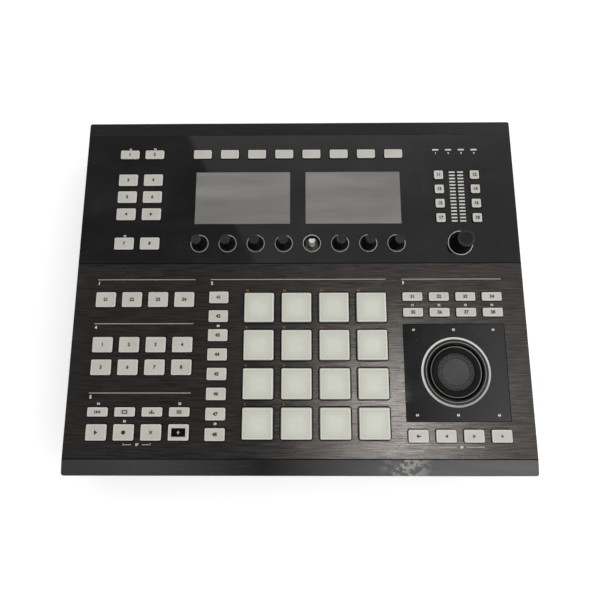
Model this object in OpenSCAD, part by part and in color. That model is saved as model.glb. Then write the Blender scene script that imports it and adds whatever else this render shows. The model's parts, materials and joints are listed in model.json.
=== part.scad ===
// A desktop pad controller: two displays, a row of small dials, a grid of pads, a jog wheel
// and blocks of keys on one flat top. Millimetres, +Z up, the user sits at -Y.
// The origin is on the table, under the middle of the case.

/* [Case] */
// Width of the case, left to right
case_w = 440; // [396:1:480]
// Depth of the case, front to back
case_d = 353; // [318:1:400]
// Height of the flat top above the table
top_z = 45; // [44:0.5:54]
// Height of the joint line round the case
seam_z = 32; // [31:0.5:33]
// Radius of the upright corners
corner_r = 3; // [1.5:0.5:5]
// Thickness of the moulded walls
wall = 2.6; // [2:0.1:3.2]
// Thickness of the case floor
floor_t = 2.6; // [2:0.1:3.4]
// How far the sides and front lean in towards the table
side_lean = 4; // [0:0.5:6]
// Bevel along the lower edges
lower_bevel = 2; // [0.5:0.5:2.5]
// How far the lower half stands in from the upper half, which makes a shadow line
seam_step = 0.6; // [0.3:0.1:1]
// Depth of the bare strip behind the display panel
rear_strip_d = 14.3; // [12:0.1:24]
// Depth of the bare strip in front of the control plate
front_strip_d = 15; // [12:0.1:20]
// Fall of the front strip towards the user
front_fall = 1; // [0.2:0.1:2]
// Radius along the outer top edges of both strips
strip_edge_r = 1.2; // [0.6:0.1:2]
// Thickness of the deck that carries the panels
deck_t = 2; // [1.6:0.1:2.2]
// Free space round each panel
panel_gap = 0.15; // [0.1:0.05:0.3]

/* [Display panel] */
// Depth of the glossy panel, front to back
display_panel_d = 137.7; // [124:0.1:151]
// Thickness of the glossy panel
glass_t = 2; // [1.6:0.1:2.4]
// Offset of the middle block from the middle of the case
middle_x = -1; // [-3:0.5:3]
// Distance of the blank key row from the panel's rear edge
soft_row = 21.7; // [19.7:0.1:25.7]
// Distance of the displays from the panel's rear edge
display_row = 69; // [67.7:0.1:70.7]
// Distance of the dial row from the panel's rear edge
dial_row = 117.3; // [115.7:0.1:119.7]
// Bare depth in front of the dials' middles
panel_front_d = 20.4; // [18:0.1:23]
// Spacing of the dials and of the blank keys
dial_pitch = 28.2; // [26:0.1:28.6]
// Width of a display's visible face
display_w = 96.8; // [92:0.1:100]
// Depth of a display's visible face
display_d = 55.7; // [52:0.1:58]
// Spacing of the two displays
display_pitch = 112.5; // [110:0.1:116]
// Rim of a display module under the panel
module_rim = 4.5; // [3:0.1:5]
// Thickness of a display module under the panel
module_t = 3.2; // [2.4:0.1:4.5]

/* [Menu keys] */
// Distance of the first menu column from the left side
menu_margin = 44.6; // [40:0.1:48]
// Distance of the second menu row from the panel's rear edge
menu_row = 49.8; // [45.7:0.1:51.7]
// Spacing of the middle menu rows
menu_row_pitch = 18.35; // [17:0.05:20]

/* [Level block] */
// Distance of the level block's middle from the right side
level_margin = 58.5; // [54:0.1:62]
// Side of a square level key
level_key = 9.2; // [8:0.1:10]
// Spacing of the two level key columns
level_spread = 36.6; // [34:0.1:40]
// Distance of the first level key row from the panel's rear edge
level_row = 45.3; // [43.7:0.1:47.7]
// Spacing of the level key rows
level_row_pitch = 15.33; // [14.5:0.01:16]
// Width of a meter bar
meter_bar_w = 5.9; // [4:0.1:6.5]
// Depth of a meter bar
meter_bar_d = 1.5; // [1:0.1:2]
// Bars in one meter column
meter_count = 16; // [8:1:16]
// Spacing of the meter bars
meter_pitch = 3.49; // [3:0.01:3.6]
// Spacing of the two meter columns
meter_spread = 8.6; // [8:0.1:10]
// Distance of the first meter bar from the panel's rear edge
meter_row = 42; // [39.7:0.1:43.7]
// Distance of the lamp row from the panel's rear edge
lamp_row = 17.2; // [15.7:0.1:21.7]
// Lamps in the row
lamp_count = 4; // [2:1:4]
// Spacing of the lamps
lamp_pitch = 13.2; // [12:0.1:14]
// Width of a lamp
lamp_w = 6.3; // [5:0.1:7]
// Depth of a lamp
lamp_d = 1.6; // [1.2:0.1:2]
// Free space round a light in its slot
light_gap = 0.1; // [0.05:0.05:0.2]
// Thickness of the strip that joins the lights under the panel
light_bar_t = 1.5; // [1:0.1:2.5]
// Margin of that strip round the lights
light_bar_rim = 0.6; // [0.4:0.1:0.8]

/* [Control plate] */
// Thickness of the brushed plate
plate_t = 1.5; // [1.2:0.1:2]
// Distance of the left block's first column from the left side
left_margin = 30.6; // [28:0.1:33]
// Distance of the right block's last column from the right side
right_margin = 32; // [29:0.1:34]
// Bare lane between the left block and the mode column
lane_w = 14.85; // [13:0.05:18]
// Bare depth behind the performance keys
plate_rear_d = 29.15; // [26:0.05:32]
// Spacing of the key columns
key_pitch = 25.7; // [24.5:0.1:26.5]
// Distance of the performance keys from the plate's front edge
performance_row = 149.5; // [145:0.1:151]
// Distance of the front group row from the plate's front edge
group_row = 84; // [81:0.1:88]
// Spacing of the two group rows
group_row_pitch = 21.5; // [20:0.1:24]
// Distance of the small transport keys from the plate's front edge
transport_row = 42.6; // [41.5:0.1:47]
// Distance of the large transport keys from the plate's front edge
transport_front_row = 24.1; // [21:0.1:25]
// Offset of the mode column from the middle block
mode_offset = -77.4; // [-79:0.1:-76]
// Distance of the first mode key from the plate's front edge
mode_row = 22.2; // [20:0.1:24]
// Mode keys in the column
mode_count = 8; // [4:1:8]
// Spacing of the mode keys
mode_pitch = 18.47; // [17:0.01:18.6]
// Offset of the pads from the middle block
pad_offset = 16.9; // [15.5:0.1:18]
// Distance of the first pad row from the plate's front edge
pad_row = 32.2; // [30:0.1:33]
// Spacing of the pads
pad_pitch = 36.4; // [35:0.1:36.8]
// Distance of the front edit row from the plate's front edge
edit_row = 136.5; // [136:0.1:140]
// Spacing of the two edit rows
edit_row_pitch = 15.4; // [14:0.1:16]
// Distance of the navigation keys from the plate's front edge
nav_row = 20.9; // [19:0.1:22]
// Distance of the jog wheel's middle from the plate's front edge
jog_row = 79.4; // [78:0.1:80]

/* [Keys and pads] */
// Width of most keys
key_w = 19.3; // [17:0.1:20]
// Width of the blank keys
soft_key_w = 18.5; // [17:0.1:20]
// Width of the mode and navigation keys
mode_key_w = 18.8; // [17:0.1:20]
// Depth of the blank keys
soft_key_d = 9.4; // [8:0.1:10]
// Depth of the small keys
small_key_d = 8.5; // [7:0.1:9]
// Depth of the menu keys
menu_key_d = 12.4; // [11:0.1:13]
// Depth of the mode and navigation keys
mode_key_d = 11.5; // [10:0.1:12]
// Depth of the large keys
large_key_d = 14.7; // [13:0.1:15]
// Height of a key above its panel
key_proud = 1.3; // [1:0.1:2]
// Travel of a key
key_travel = 0.8; // [0.4:0.1:0.9]
// Radius of a key's upright corners
key_corner_r = 1.5; // [0.8:0.1:2]
// Radius along a key's top edges
key_edge_r = 0.45; // [0.2:0.05:0.55]
// Side of a square pad
pad_size = 29; // [27:0.1:29.5]
// Height of a pad above the plate
pad_proud = 2.4; // [1.6:0.1:3]
// Travel of a pad
pad_travel = 1; // [0.5:0.1:1.1]
// Radius of a pad's upright corners
pad_corner_r = 2; // [1.5:0.1:3]
// Radius along a pad's top edges
pad_edge_r = 1.2; // [0.5:0.1:1.4]
// Side of the square block under a pad
pad_core = 22; // [16:0.5:25]
// Free space round a key or pad in its hole
key_gap = 0.35; // [0.25:0.05:0.5]
// Width of the flange that keeps a key or pad in
flange_w = 1.2; // [0.8:0.1:1.5]
// Thickness of that flange
flange_t = 1; // [0.8:0.1:1.2]
// Free space over the flange, and under a key that is fully down
stop_gap = 0.3; // [0.2:0.05:0.4]
// Diameter of the post under a key
post_d = 4; // [3:0.1:5]

/* [Dials] */
// Height of a dial's top above the panel
knob_h = 15; // [13:0.1:20]
// Free space under a dial
knob_lift = 0.6; // [0.4:0.1:1]
// Diameter of a dial at its foot
knob_base_d = 14; // [12:0.1:15]
// Diameter of a dial at its top
knob_top_d = 10; // [9:0.1:11.5]
// Depth of the dish in a dial's top
knob_dish_h = 0.15; // [0.1:0.05:0.4]
// Radius along a dial's top edge
knob_edge_r = 0.9; // [0.4:0.1:1.5]
// Diameter of the level dial at its foot
level_knob_base_d = 21; // [18:0.1:22]
// Diameter of the level dial at its top
level_knob_top_d = 17; // [15:0.1:17.5]
// Diameter of the shallow dish in the level dial's top
level_dish_d = 12.8; // [10:0.1:13.5]
// Depth of that dish
level_dish_h = 0.4; // [0.2:0.1:1]
// Outer diameter of a dial's ring
ring_d = 18.5; // [17.5:0.1:20]
// Width of a dial's ring
ring_w = 0.8; // [0.6:0.1:1]
// Outer diameter of the level dial's ring
level_ring_d = 25.6; // [24.5:0.1:27]
// Width of the level dial's ring
level_ring_w = 1; // [0.7:0.1:1.2]
// Height of the rings above the panel
ring_proud = 0.2; // [0.1:0.1:0.4]
// Free space round a ring in its hole
ring_gap = 0.1; // [0.05:0.05:0.2]
// Diameter of a dial's shaft
shaft_d = 6; // [5:0.1:6.2]
// Height of a shaft's end above the panel
shaft_h = 10.5; // [8:0.1:11]
// Depth of the flat on a shaft
shaft_flat = 1.5; // [1:0.1:2]
// Length of the flat on a shaft
shaft_flat_h = 7; // [5:0.1:8]
// Outer diameter of an encoder's bushing
bushing_d = 8; // [7.4:0.1:9]
// Depth of a bushing's end below the panel's top
bushing_low = 0.4; // [0.2:0.1:1]
// Side of a square encoder body
encoder_w = 12; // [11:0.1:14]
// Height of an encoder body
encoder_h = 5.5; // [4.5:0.1:6.5]
// Free space between a shaft and its bore
running_gap = 0.05; // [0.02:0.01:0.1]
// Free space under the end of a shaft
shaft_end_gap = 0.5; // [0.3:0.1:1]

/* [Jog wheel] */
// Width of the glossy jog panel
jog_panel_w = 97.5; // [92:0.1:99]
// Depth of the glossy jog panel
jog_panel_d = 91.4; // [88:0.1:93]
// Diameter of the round collar under the jog panel
jog_collar_d = 72; // [70:0.1:80]
// Height of that collar
jog_collar_h = 3.6; // [3:0.1:3.8]
// Outer diameter of the light ring
light_ring_d = 65.8; // [64:0.1:67]
// Width of the light ring
light_ring_w = 2.4; // [1.6:0.1:3]
// Thickness of the light ring
light_ring_t = 1.8; // [1.2:0.1:2.4]
// Diameter of the opening for the wheel
jog_bore_d = 53.6; // [53:0.1:55]
// Width of the bevel round that opening
jog_lip = 1.4; // [0.8:0.1:1.6]
// Diameter of the wheel's raised top
wheel_d = 48; // [46:0.1:50]
// Diameter of the wheel's skirt under the top
wheel_skirt_d = 52.6; // [51:0.1:52.6]
// Height of the wheel's rim above the panel
wheel_proud = 1; // [0.6:0.1:2]
// Thickness of the wheel's skirt
wheel_skirt_t = 1.2; // [1:0.1:1.6]
// Bevel round the wheel's rim
wheel_bevel = 1.5; // [0.8:0.1:2]
// Diameter of the ribbed band in the wheel's top
rib_band_d = 35.3; // [32:0.1:38]
// Diameter of the smooth dish inside the ribbed band
dish_d = 26; // [22:0.1:28]
// Depth of the ribbed band and the dish below the rim
dish_h = 0.9; // [0.5:0.1:1.2]
// Grooves round the ribbed band
rib_count = 48; // [24:4:60]
// Width of a groove
rib_groove_w = 0.6; // [0.4:0.05:0.8]
// Depth of a groove
rib_groove_h = 0.5; // [0.3:0.05:0.6]
// Travel of the wheel when it is pushed
jog_travel = 0.8; // [0.4:0.1:0.9]
// Diameter of the shoulder that carries the wheel
jog_shoulder_d = 10; // [9:0.1:12]
// Thickness of that shoulder
jog_shoulder_t = 0.8; // [0.6:0.1:0.9]
// Side of the square encoder body under the wheel
jog_encoder_w = 20; // [18:0.1:24]
// Height of that encoder body
jog_encoder_h = 8; // [7:0.1:9]

/* [Boards] */
// Thickness of a circuit board
board_t = 1.6; // [1.2:0.1:1.8]
// Depth of the upper board's face below the top
upper_board_drop = 11.5; // [11:0.1:12]
// Depth of the lower board's face below the top
lower_board_drop = 6; // [5.8:0.1:6.4]
// Distance of the boards from the case's sides
board_inset = 15; // [12:0.5:16]
// Reach of the boards past the outer keys
board_rim = 7; // [5:0.5:9]
// Diameter of the posts that carry the boards
standoff_d = 5; // [4:0.1:6]

/* [Rear sockets] */
// Depth of the socket panel's face inside the rear wall
panel_recess = 1.4; // [1.2:0.1:1.6]
// Width of the socket panel
panel_w = 280; // [270:1:314]
// Height of the socket panel
panel_h = 21; // [20.5:0.1:22]
// Height of the socket panel's lower edge over the case floor
panel_low = 2.6; // [2.2:0.1:3]
// Rim of the socket panel behind the wall
panel_rim = 1.6; // [1.2:0.1:1.8]
// Thickness of that rim
panel_rim_t = 1.4; // [1:0.1:1.8]
// Offset of the socket panel from the middle of the case
panel_x = 12; // [0:1:16]
// Height of the socket board over the case floor
socket_board_lift = 2; // [1.6:0.1:2.4]
// Reach of the socket board past its outer sockets
socket_rim = 4; // [2:0.5:8]
// Depth of the socket board
socket_board_d = 34; // [32:0.5:38]
// Position of the lock slot
lock_x = 140; // [134:1:142]
// Length of the lock slot
lock_w = 7; // [6:0.1:8]
// Height of the lock slot
lock_h = 3; // [2.6:0.1:3.4]
// Position of the power inlet
inlet_x = 118; // [114:1:120]
// Bore of the power inlet
inlet_bore_d = 5.6; // [5.5:0.1:6.4]
// Diameter of the power inlet's pin
inlet_pin_d = 2.1; // [1.9:0.1:2.5]
// Position of the power button
button_x = 98; // [96:1:102]
// Diameter of the power button
button_d = 8; // [7:0.1:9]
// Height of the power button over the socket panel
button_proud = 1.2; // [1:0.1:1.3]
// Travel of the power button
button_travel = 1; // [0.6:0.1:1.2]
// Position of the data socket
usb_x = 74; // [70:1:78]
// Position of the first jack
jack_x = 44; // [42:1:48]
// Spacing of the jacks
jack_pitch = 22; // [20:1:24]
// Bore of a jack
jack_bore_d = 6.4; // [6.35:0.05:6.6]
// Outer diameter of a jack's sleeve
jack_sleeve_d = 10.4; // [9.5:0.1:12]
// Depth of a jack's bore
jack_bore_l = 16; // [14:0.5:20]
// Position of the first round socket
midi_x = -12; // [-16:1:-8]
// Spacing of the round sockets
midi_pitch = 26; // [23:1:28]
// Diameter of a round socket's face
midi_face_d = 17.4; // [16.8:0.1:18]
// Mean diameter of the ring groove in a round socket
midi_groove_d = 14.2; // [13.6:0.1:14.6]
// Width of that groove
midi_groove_w = 1; // [0.8:0.1:1.4]
// Diameter of the circle of pin holes
midi_pin_circle = 7.2; // [6.8:0.1:7.6]
// Diameter of a pin hole
midi_pin_d = 1.6; // [1.4:0.1:1.8]
// Free space round a socket in the panel
socket_gap = 0.2; // [0.1:0.05:0.3]

/* [Underside] */
// Height of the rubber feet under the case
foot_h = 3; // [2.5:0.1:4]
// Diameter of a rubber foot
foot_d = 16; // [12:0.5:20]
// Depth of a rubber foot's seat in the floor
foot_seat = 0.8; // [0.5:0.1:1]
// Distance of the front feet from the sides
foot_side = 35; // [30:1:50]
// Distance of the front feet from the plate's front edge
foot_front = 34; // [30:1:40]
// Distance of the rear feet from the middle
foot_rear_x = 122; // [110:1:130]
// Distance of the rear feet from the panel's rear edge
foot_rear = 28; // [24:1:34]
// Distance of the screws from the sides, the front and the rear
boss_inset = 13; // [12.5:0.1:14]
// Distance of the middle front screws from the middle
boss_front_x = 70; // [50:1:90]
// Diameter of a screw boss
boss_d = 7; // [6:0.1:7.4]
// Height of a screw seat over the floor
screw_seat_h = 4; // [3:0.1:5]
// Diameter of a screw's shank
screw_d = 2.9; // [2.5:0.1:3.1]
// Length of a screw's shank
screw_l = 14; // [10:0.5:18]
// Diameter of a screw's head
screw_head_d = 5.6; // [5:0.1:5.8]
// Height of a screw's head
screw_head_h = 2.2; // [1.8:0.1:2.4]
// Free space round a screw
screw_gap = 0.2; // [0.1:0.05:0.3]
// Distance of a tilt foot's middle from the case's side
tilt_side = 46; // [44:1:50]
// Distance of a tilt foot's pivot from the panel's rear edge
tilt_rear = 21; // [20:0.5:24]
// Width of a tilt foot
tilt_w = 44; // [36:1:46]
// Length of a tilt foot from its pivot
tilt_l = 38; // [30:1:42]
// Thickness of a tilt foot
tilt_t = 6; // [5:0.1:6.4]
// Diameter of a tilt foot's pegs
tilt_peg_d = 3.6; // [3:0.1:4]
// Length of a tilt foot's pegs
tilt_peg_l = 1.6; // [1.2:0.1:1.8]
// Free space round a tilt foot in its pocket
tilt_gap = 0.6; // [0.5:0.1:0.8]
// Width of the finger notch at a tilt foot's free end
notch_w = 18; // [12:0.5:24]
// Length of that notch
notch_l = 7; // [5:0.5:9]
// Depth of a folded tilt foot inside the underside
tilt_recess = 0.3; // [0.2:0.1:0.5]

/* [Hidden] */
$fn = 64;
KNOBS = [1, 2, 3, 4, 6, 7, 8];
BARE = 5;
PADS = [1:16];

case_dark = "#2b2b2d";
strip_dark = "#3a3a3c";
gloss_black = "#141416";
plate_grey = "#3c3c3e";
key_grey = "#b4b2aa";
pad_grey = "#c0c1b6";
dial_black = "#262628";
steel = "#b9babc";
board_green = "#1f4a33";
socket_black = "#18181a";
rubber_black = "#202020";

overcut = 1;
least_r = 0.4;

// Heights of the layers under the flat top
glass_z = top_z - glass_t;
plate_z = top_z - plate_t;
deck_z = top_z - max(glass_t, plate_t) - deck_t;
upper_board_z = top_z - upper_board_drop;
lower_board_z = top_z - lower_board_drop;
floor_z = foot_h + floor_t;
screw_seat_z = floor_z + screw_seat_h - floor_t;

// The layout as it is drawn, and how far it is stretched to fill this case and its panels
drawn_w = 2 * (left_margin + 3 * key_pitch + key_w / 2 + lane_w + mode_key_w / 2 - mode_offset - middle_x);
drawn_panel_d = dial_row + panel_front_d;
drawn_plate_d = performance_row + large_key_d / 2 + plate_rear_d;
strips_d = rear_strip_d + front_strip_d;
panel_d = display_panel_d * case_d / (strips_d + display_panel_d + drawn_plate_d);
plate_d = case_d - strips_d - panel_d;
across = case_w / drawn_w;
upper = panel_d / drawn_panel_d;
lower = plate_d / drawn_plate_d;

// Rows and columns on the top
rear_y = case_d / 2 - rear_strip_d;
front_y = front_strip_d - case_d / 2;
panel_y = rear_y - panel_d;
soft_y = from_panel(soft_row);
display_y = from_panel(display_row);
dial_y = from_panel(dial_row);
lamp_y = from_panel(lamp_row);
jog_y = from_plate(jog_row);
column = key_pitch * across;
middle = middle_x * across;
menu_x = menu_margin * across - case_w / 2;
level_x = case_w / 2 - level_margin * across;
left_x = left_margin * across - case_w / 2;
right_x = case_w / 2 - right_margin * across - 3 * column;
jog_x = right_x + 1.5 * column;
mode_x = middle + mode_offset * across;
pad_x = middle + pad_offset * across;
pad_side = pad_size * min(across, lower);
core_side = pad_core * min(across, lower);
level_side = level_key * min(across, upper);
view = [display_w * across, display_d * upper];
view_step = display_pitch * across;
jog_panel_size = [jog_panel_w * across, jog_panel_d * lower];
lamp = [lamp_w * across, lamp_d * upper];
window_edge = 1.5;
window_rim = flange_w + key_gap + window_edge;
module_gap = 1;
ring_rim = 2;

boss_side = case_w / 2 - boss_inset;
boss_end = case_d / 2 - boss_inset;
boss_step = 1;

// Edges of the boards
board_clear = 0.65;
board_w = case_w - 2 * board_inset;
upper_board_y = [dial_y - level_ring_d / 2 - board_rim / 2, lamp_y + board_rim];
lower_board_y = [boss_d / 2 + board_clear - boss_end,
  from_plate(performance_row) + large_key_d * lower / 2 + board_rim];
rib_y = (upper_board_y[0] + lower_board_y[1]) / 2;

// The bare lanes between the key blocks, where bosses and board posts stand
left_lane_x = (left_x + 3 * column + mode_x + (key_w - mode_key_w) * across / 2) / 2;
right_lane_x = (pad_x + 1.5 * pad_pitch * across + pad_side / 2 + jog_x - jog_panel_size[0] / 2) / 2;
module_w = view[0] + 2 * module_rim;
module_d = view[1] + 2 * module_rim;
module_reach = view_step / 2 + module_w / 2;
menu_lane_x = (menu_x + column + key_w * across / 2 + middle - module_reach) / 2;
lamps_w = (lamp_count - 1) * lamp_pitch * across + lamp[0];
level_reach = max(level_spread * across + level_side, lamps_w) / 2 + window_rim;
level_lane_x = (middle + module_reach + level_x - level_reach) / 2;

// The rear wall and what stands behind it
lower_w = case_w - 2 * seam_step;
lower_d = case_d - 2 * seam_step;
rear_in_y = lower_d / 2 - wall;
panel_out_y = lower_d / 2 - panel_recess;
panel_in_y = rear_in_y - panel_rim_t;
panel_z = floor_z + panel_low + panel_h / 2;
socket_z = floor_z + socket_board_lift + board_t;
midi_body = [20, 13, 19.5];
midi_z = socket_z + midi_body[2] / 2;
jack_body = [16, 24, 16];
jack_z = socket_z + jack_body[2] / 2;
usb_body = [12, 16, 11];
usb_z = socket_z + usb_body[2] / 2;
inlet_body = [9, 13, 12];
inlet_z = socket_z + inlet_body[2] / 2;
inlet_collar_d = 8;
button_z = inlet_z;
socket_low_x = midi_x - 3 * midi_pitch - midi_body[0] / 2 - socket_rim;
socket_high_x = inlet_x + inlet_body[0] / 2 + socket_rim;
socket_posts = [for (x = [socket_low_x + standoff_d, socket_high_x - standoff_d],
  y = [panel_in_y - socket_board_d + standoff_d, panel_in_y - standoff_d]) [x, y]];

// The tilt feet and their pockets
peg_cover = 0.8;
tilt_x = case_w / 2 - tilt_side * across;
tilt_y = from_rear(tilt_rear);
tilt_z = foot_h + tilt_recess + tilt_t / 2;
pocket_h = tilt_recess + tilt_t + tilt_gap;
pocket_wall = tilt_peg_l + peg_cover;

bosses = [[-boss_side, -boss_end], [-boss_front_x * across, -boss_end], [boss_front_x * across, -boss_end],
  [boss_side, -boss_end], [-boss_side, rib_y], [left_lane_x, rib_y], [right_lane_x, rib_y],
  [boss_side, rib_y], [-boss_side, boss_end], [boss_side, boss_end]];
foot_x = case_w / 2 - foot_side * across;
feet = [[-foot_x, from_front(foot_front)], [foot_x, from_front(foot_front)],
  [-foot_rear_x * across, from_rear(foot_rear)], [foot_rear_x * across, from_rear(foot_rear)]];

// Every key as [x, y, width, depth]
menu_ys = [soft_y, from_panel(menu_row), from_panel(menu_row + menu_row_pitch),
  from_panel(menu_row + 2 * menu_row_pitch), dial_y];
menu_list = [for (r = [0:4], c = [0, 1])
  upper_key(menu_x + c * column, menu_ys[r], key_w, r == 0 ? soft_key_d : menu_key_d)];
soft_list = [for (c = [0:7]) upper_key(dial_x(c), soft_y, soft_key_w, soft_key_d)];
level_list = [for (r = [0:3], s = [-1, 1])
  [level_x + s * level_spread * across / 2, from_panel(level_row + r * level_row_pitch),
    level_side, level_side]];
performance_list = key_row(left_x, performance_row, key_w, large_key_d);
group_list = concat(key_row(left_x, group_row, key_w, large_key_d),
  key_row(left_x, group_row + group_row_pitch, key_w, large_key_d));
transport_list = concat(key_row(left_x, transport_row, key_w, small_key_d),
  key_row(left_x, transport_front_row, key_w, large_key_d));
mode_list = [for (r = [0:mode_count - 1])
  lower_key(mode_x, mode_row + r * mode_pitch, mode_key_w, mode_key_d)];
edit_list = concat(key_row(right_x, edit_row, key_w, small_key_d),
  key_row(right_x, edit_row + edit_row_pitch, key_w, small_key_d));
nav_list = key_row(right_x, nav_row, mode_key_w, mode_key_d);
pad_list = [for (i = PADS) [pad_place(i)[0], pad_place(i)[1], pad_side, pad_side]];
upper_groups = [menu_list, soft_list, level_list];
lower_groups = [performance_list, group_list, transport_list, mode_list, edit_list, nav_list];

function from_rear(v) = case_d / 2 - v;
function from_front(v) = v - case_d / 2;
function from_panel(v) = rear_y - v * upper;
function from_plate(v) = front_y + v * lower;
function dial_x(i) = middle + (i - 3.5) * dial_pitch * across;
function upper_key(x, y, w, d) = [x, y, w * across, d * upper];
function lower_key(x, row, w, d) = [x, from_plate(row), w * across, d * lower];
function key_row(x, row, w, d) = [for (c = [0:3]) lower_key(x + c * column, row, w, d)];
function pad_place(i) = [pad_x + ((i - 1) % 4 - 1.5) * pad_pitch * across,
  from_plate(pad_row + floor((i - 1) / 4) * pad_pitch)];
function arc(x, y, r, from, to, steps = 5) =
  [for (i = [0:steps]) let (a = from + (to - from) * i / steps) [x + r * cos(a), y + r * sin(a)]];
function low(keys, i) = min([for (k = keys) k[i] - k[i + 2] / 2]) - window_rim;
function high(keys, i) = max([for (k = keys) k[i] + k[i + 2] / 2]) + window_rim;
// How far the lower half has leaned in at a height
function lean(z) = side_lean * (seam_z - z) / (seam_z - foot_h);

// A flat rectangle with round corners
module round_rect(w, d, r) {
  square([w - 2 * r, d], center = true);
  square([w, d - 2 * r], center = true);
  for (x = [-1, 1], y = [-1, 1])
    translate([x * (w / 2 - r), y * (d / 2 - r)])
      circle(r);
}

// A flat profile that stands on the X axis, with round upper corners
module dome_profile(w, h, r) {
  translate([-w / 2, 0])
    square([w, h - r]);
  translate([r - w / 2, 0])
    square([w - 2 * r, h]);
  for (s = [-1, 1])
    translate([s * (w / 2 - r), h - r])
      circle(r);
}

// A block with round upright corners and round top edges
module soft_block(w, d, h, corner, edge) {
  intersection() {
    linear_extrude(h)
      round_rect(w, d, corner);
    rotate([90, 0, 0])
      linear_extrude(d + 2, center = true)
        dome_profile(w, h, edge);
    rotate([90, 0, 90])
      linear_extrude(w + 2, center = true)
        dome_profile(d, h, edge);
  }
}

// A block from one corner to the opposite one
module block(from, to) {
  translate(from)
    cube(to - from);
}

// The leaning lower half, smaller all round by inset, from z_low up to the joint line
module lower_half(inset, z_low, bevel) {
  half_w = lower_w / 2 - inset;
  half_d = lower_d / 2 - inset;
  l = lean(z_low);
  b = lean(z_low + bevel);
  height = seam_z - z_low;
  intersection() {
    translate([0, 0, z_low])
      linear_extrude(height)
        round_rect(2 * half_w, 2 * half_d, max(corner_r - inset, least_r));
    rotate([90, 0, 0])
      linear_extrude(case_d, center = true)
        polygon([[-half_w, seam_z], [b - half_w, z_low + bevel], [l + bevel - half_w, z_low],
          [half_w - l - bevel, z_low], [half_w - b, z_low + bevel], [half_w, seam_z]]);
    rotate([90, 0, 90])
      linear_extrude(case_w, center = true)
        polygon([[-half_d, seam_z], [b - half_d, z_low + bevel], [l + bevel - half_d, z_low],
          [half_d - bevel, z_low], [half_d, z_low + bevel], [half_d, seam_z]]);
  }
}

// A tilt foot's pocket, or its housing when it is grown by some wall
module tilt_pocket(side, grow, height) {
  half = tilt_w / 2 + tilt_gap + grow;
  block([side * tilt_x - half, tilt_y - tilt_l - tilt_gap - grow, foot_h - (grow > 0 ? 0 : overcut)],
    [side * tilt_x + half, tilt_y + tilt_t / 2 + 2 * tilt_gap + grow, foot_h + height]);
}

module bottom_case() {
  color(case_dark)
    difference() {
      union() {
        difference() {
          lower_half(0, foot_h, lower_bevel);
          intersection() {
            lower_half(wall, floor_z, 0);
            block([-case_w, -case_d, floor_z], [case_w, case_d, seam_z + overcut]);
          }
        }
        for (side = [-1, 1])
          tilt_pocket(side, pocket_wall, pocket_h + floor_t);
        for (p = bosses)
          translate([p[0], p[1], foot_h + floor_t / 2])
            cylinder(d = boss_d + 2 * boss_step, h = screw_seat_h + floor_t / 2);
        for (p = socket_posts)
          translate([p[0], p[1], foot_h + floor_t / 2])
            cylinder(d = standoff_d, h = socket_board_lift + floor_t / 2);
      }
      for (side = [-1, 1]) {
        tilt_pocket(side, 0, pocket_h);
        block([side * tilt_x - notch_w / 2, tilt_y - tilt_l - notch_l, foot_h - overcut],
          [side * tilt_x + notch_w / 2, tilt_y - tilt_l, foot_h + floor_t / 2]);
        translate([side * tilt_x, tilt_y, tilt_z])
          rotate([0, 90, 0])
            cylinder(d = tilt_peg_d + 2 * screw_gap, h = tilt_w + 2 * (tilt_gap + tilt_peg_l), center = true);
      }
      for (p = bosses)
        translate([p[0], p[1], 0]) {
          cylinder(d = screw_head_d + 2 * screw_gap, h = screw_seat_z);
          cylinder(d = screw_d + 2 * screw_gap, h = floor_z + screw_seat_h + overcut);
        }
      for (p = feet)
        translate([p[0], p[1], 0])
          cylinder(d = foot_d + 2 * screw_gap, h = foot_h + foot_seat);
      translate([panel_x, rear_in_y, panel_z])
        cube([panel_w, 4 * wall, panel_h], center = true);
    }
}

// The upper half's section from front to rear, with both panel seats
module top_profile() {
  front_z = top_z - front_fall;
  polygon(concat(
    [[-case_d / 2, seam_z]],
    arc(strip_edge_r - case_d / 2, front_z - strip_edge_r, strip_edge_r, 180, 90),
    [[front_y, top_z], [front_y, plate_z], [panel_y, plate_z],
      [panel_y, glass_z], [rear_y, glass_z], [rear_y, top_z]],
    arc(case_d / 2 - strip_edge_r, top_z - strip_edge_r, strip_edge_r, 90, 0),
    [[case_d / 2, seam_z]]
  ));
}

// An opening in the deck round a block of keys
module key_window(keys) {
  block([low(keys, 0), low(keys, 1), deck_z - overcut], [high(keys, 0), high(keys, 1), top_z + overcut]);
}

module deck_windows() {
  for (keys = concat(lower_groups, [menu_list, pad_list]))
    key_window(keys);
  block([middle - module_reach - module_gap, dial_y - ring_d / 2 - ring_rim, deck_z - overcut],
    [middle + module_reach + module_gap, high(soft_list, 1), top_z + overcut]);
  block([level_x - level_reach, dial_y - level_ring_d / 2 - ring_rim, deck_z - overcut],
    [level_x + level_reach, lamp_y + lamp[1] / 2 + ring_rim, top_z + overcut]);
  translate([jog_x, jog_y, deck_z - overcut])
    cylinder(d = jog_collar_d + 2 * module_gap, h = deck_t + glass_t + overcut);
}

// A post under the deck, down to z
module deck_post(x, y, z, d) {
  translate([x, y, z])
    cylinder(d = d, h = deck_z + deck_t / 2 - z);
}

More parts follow.
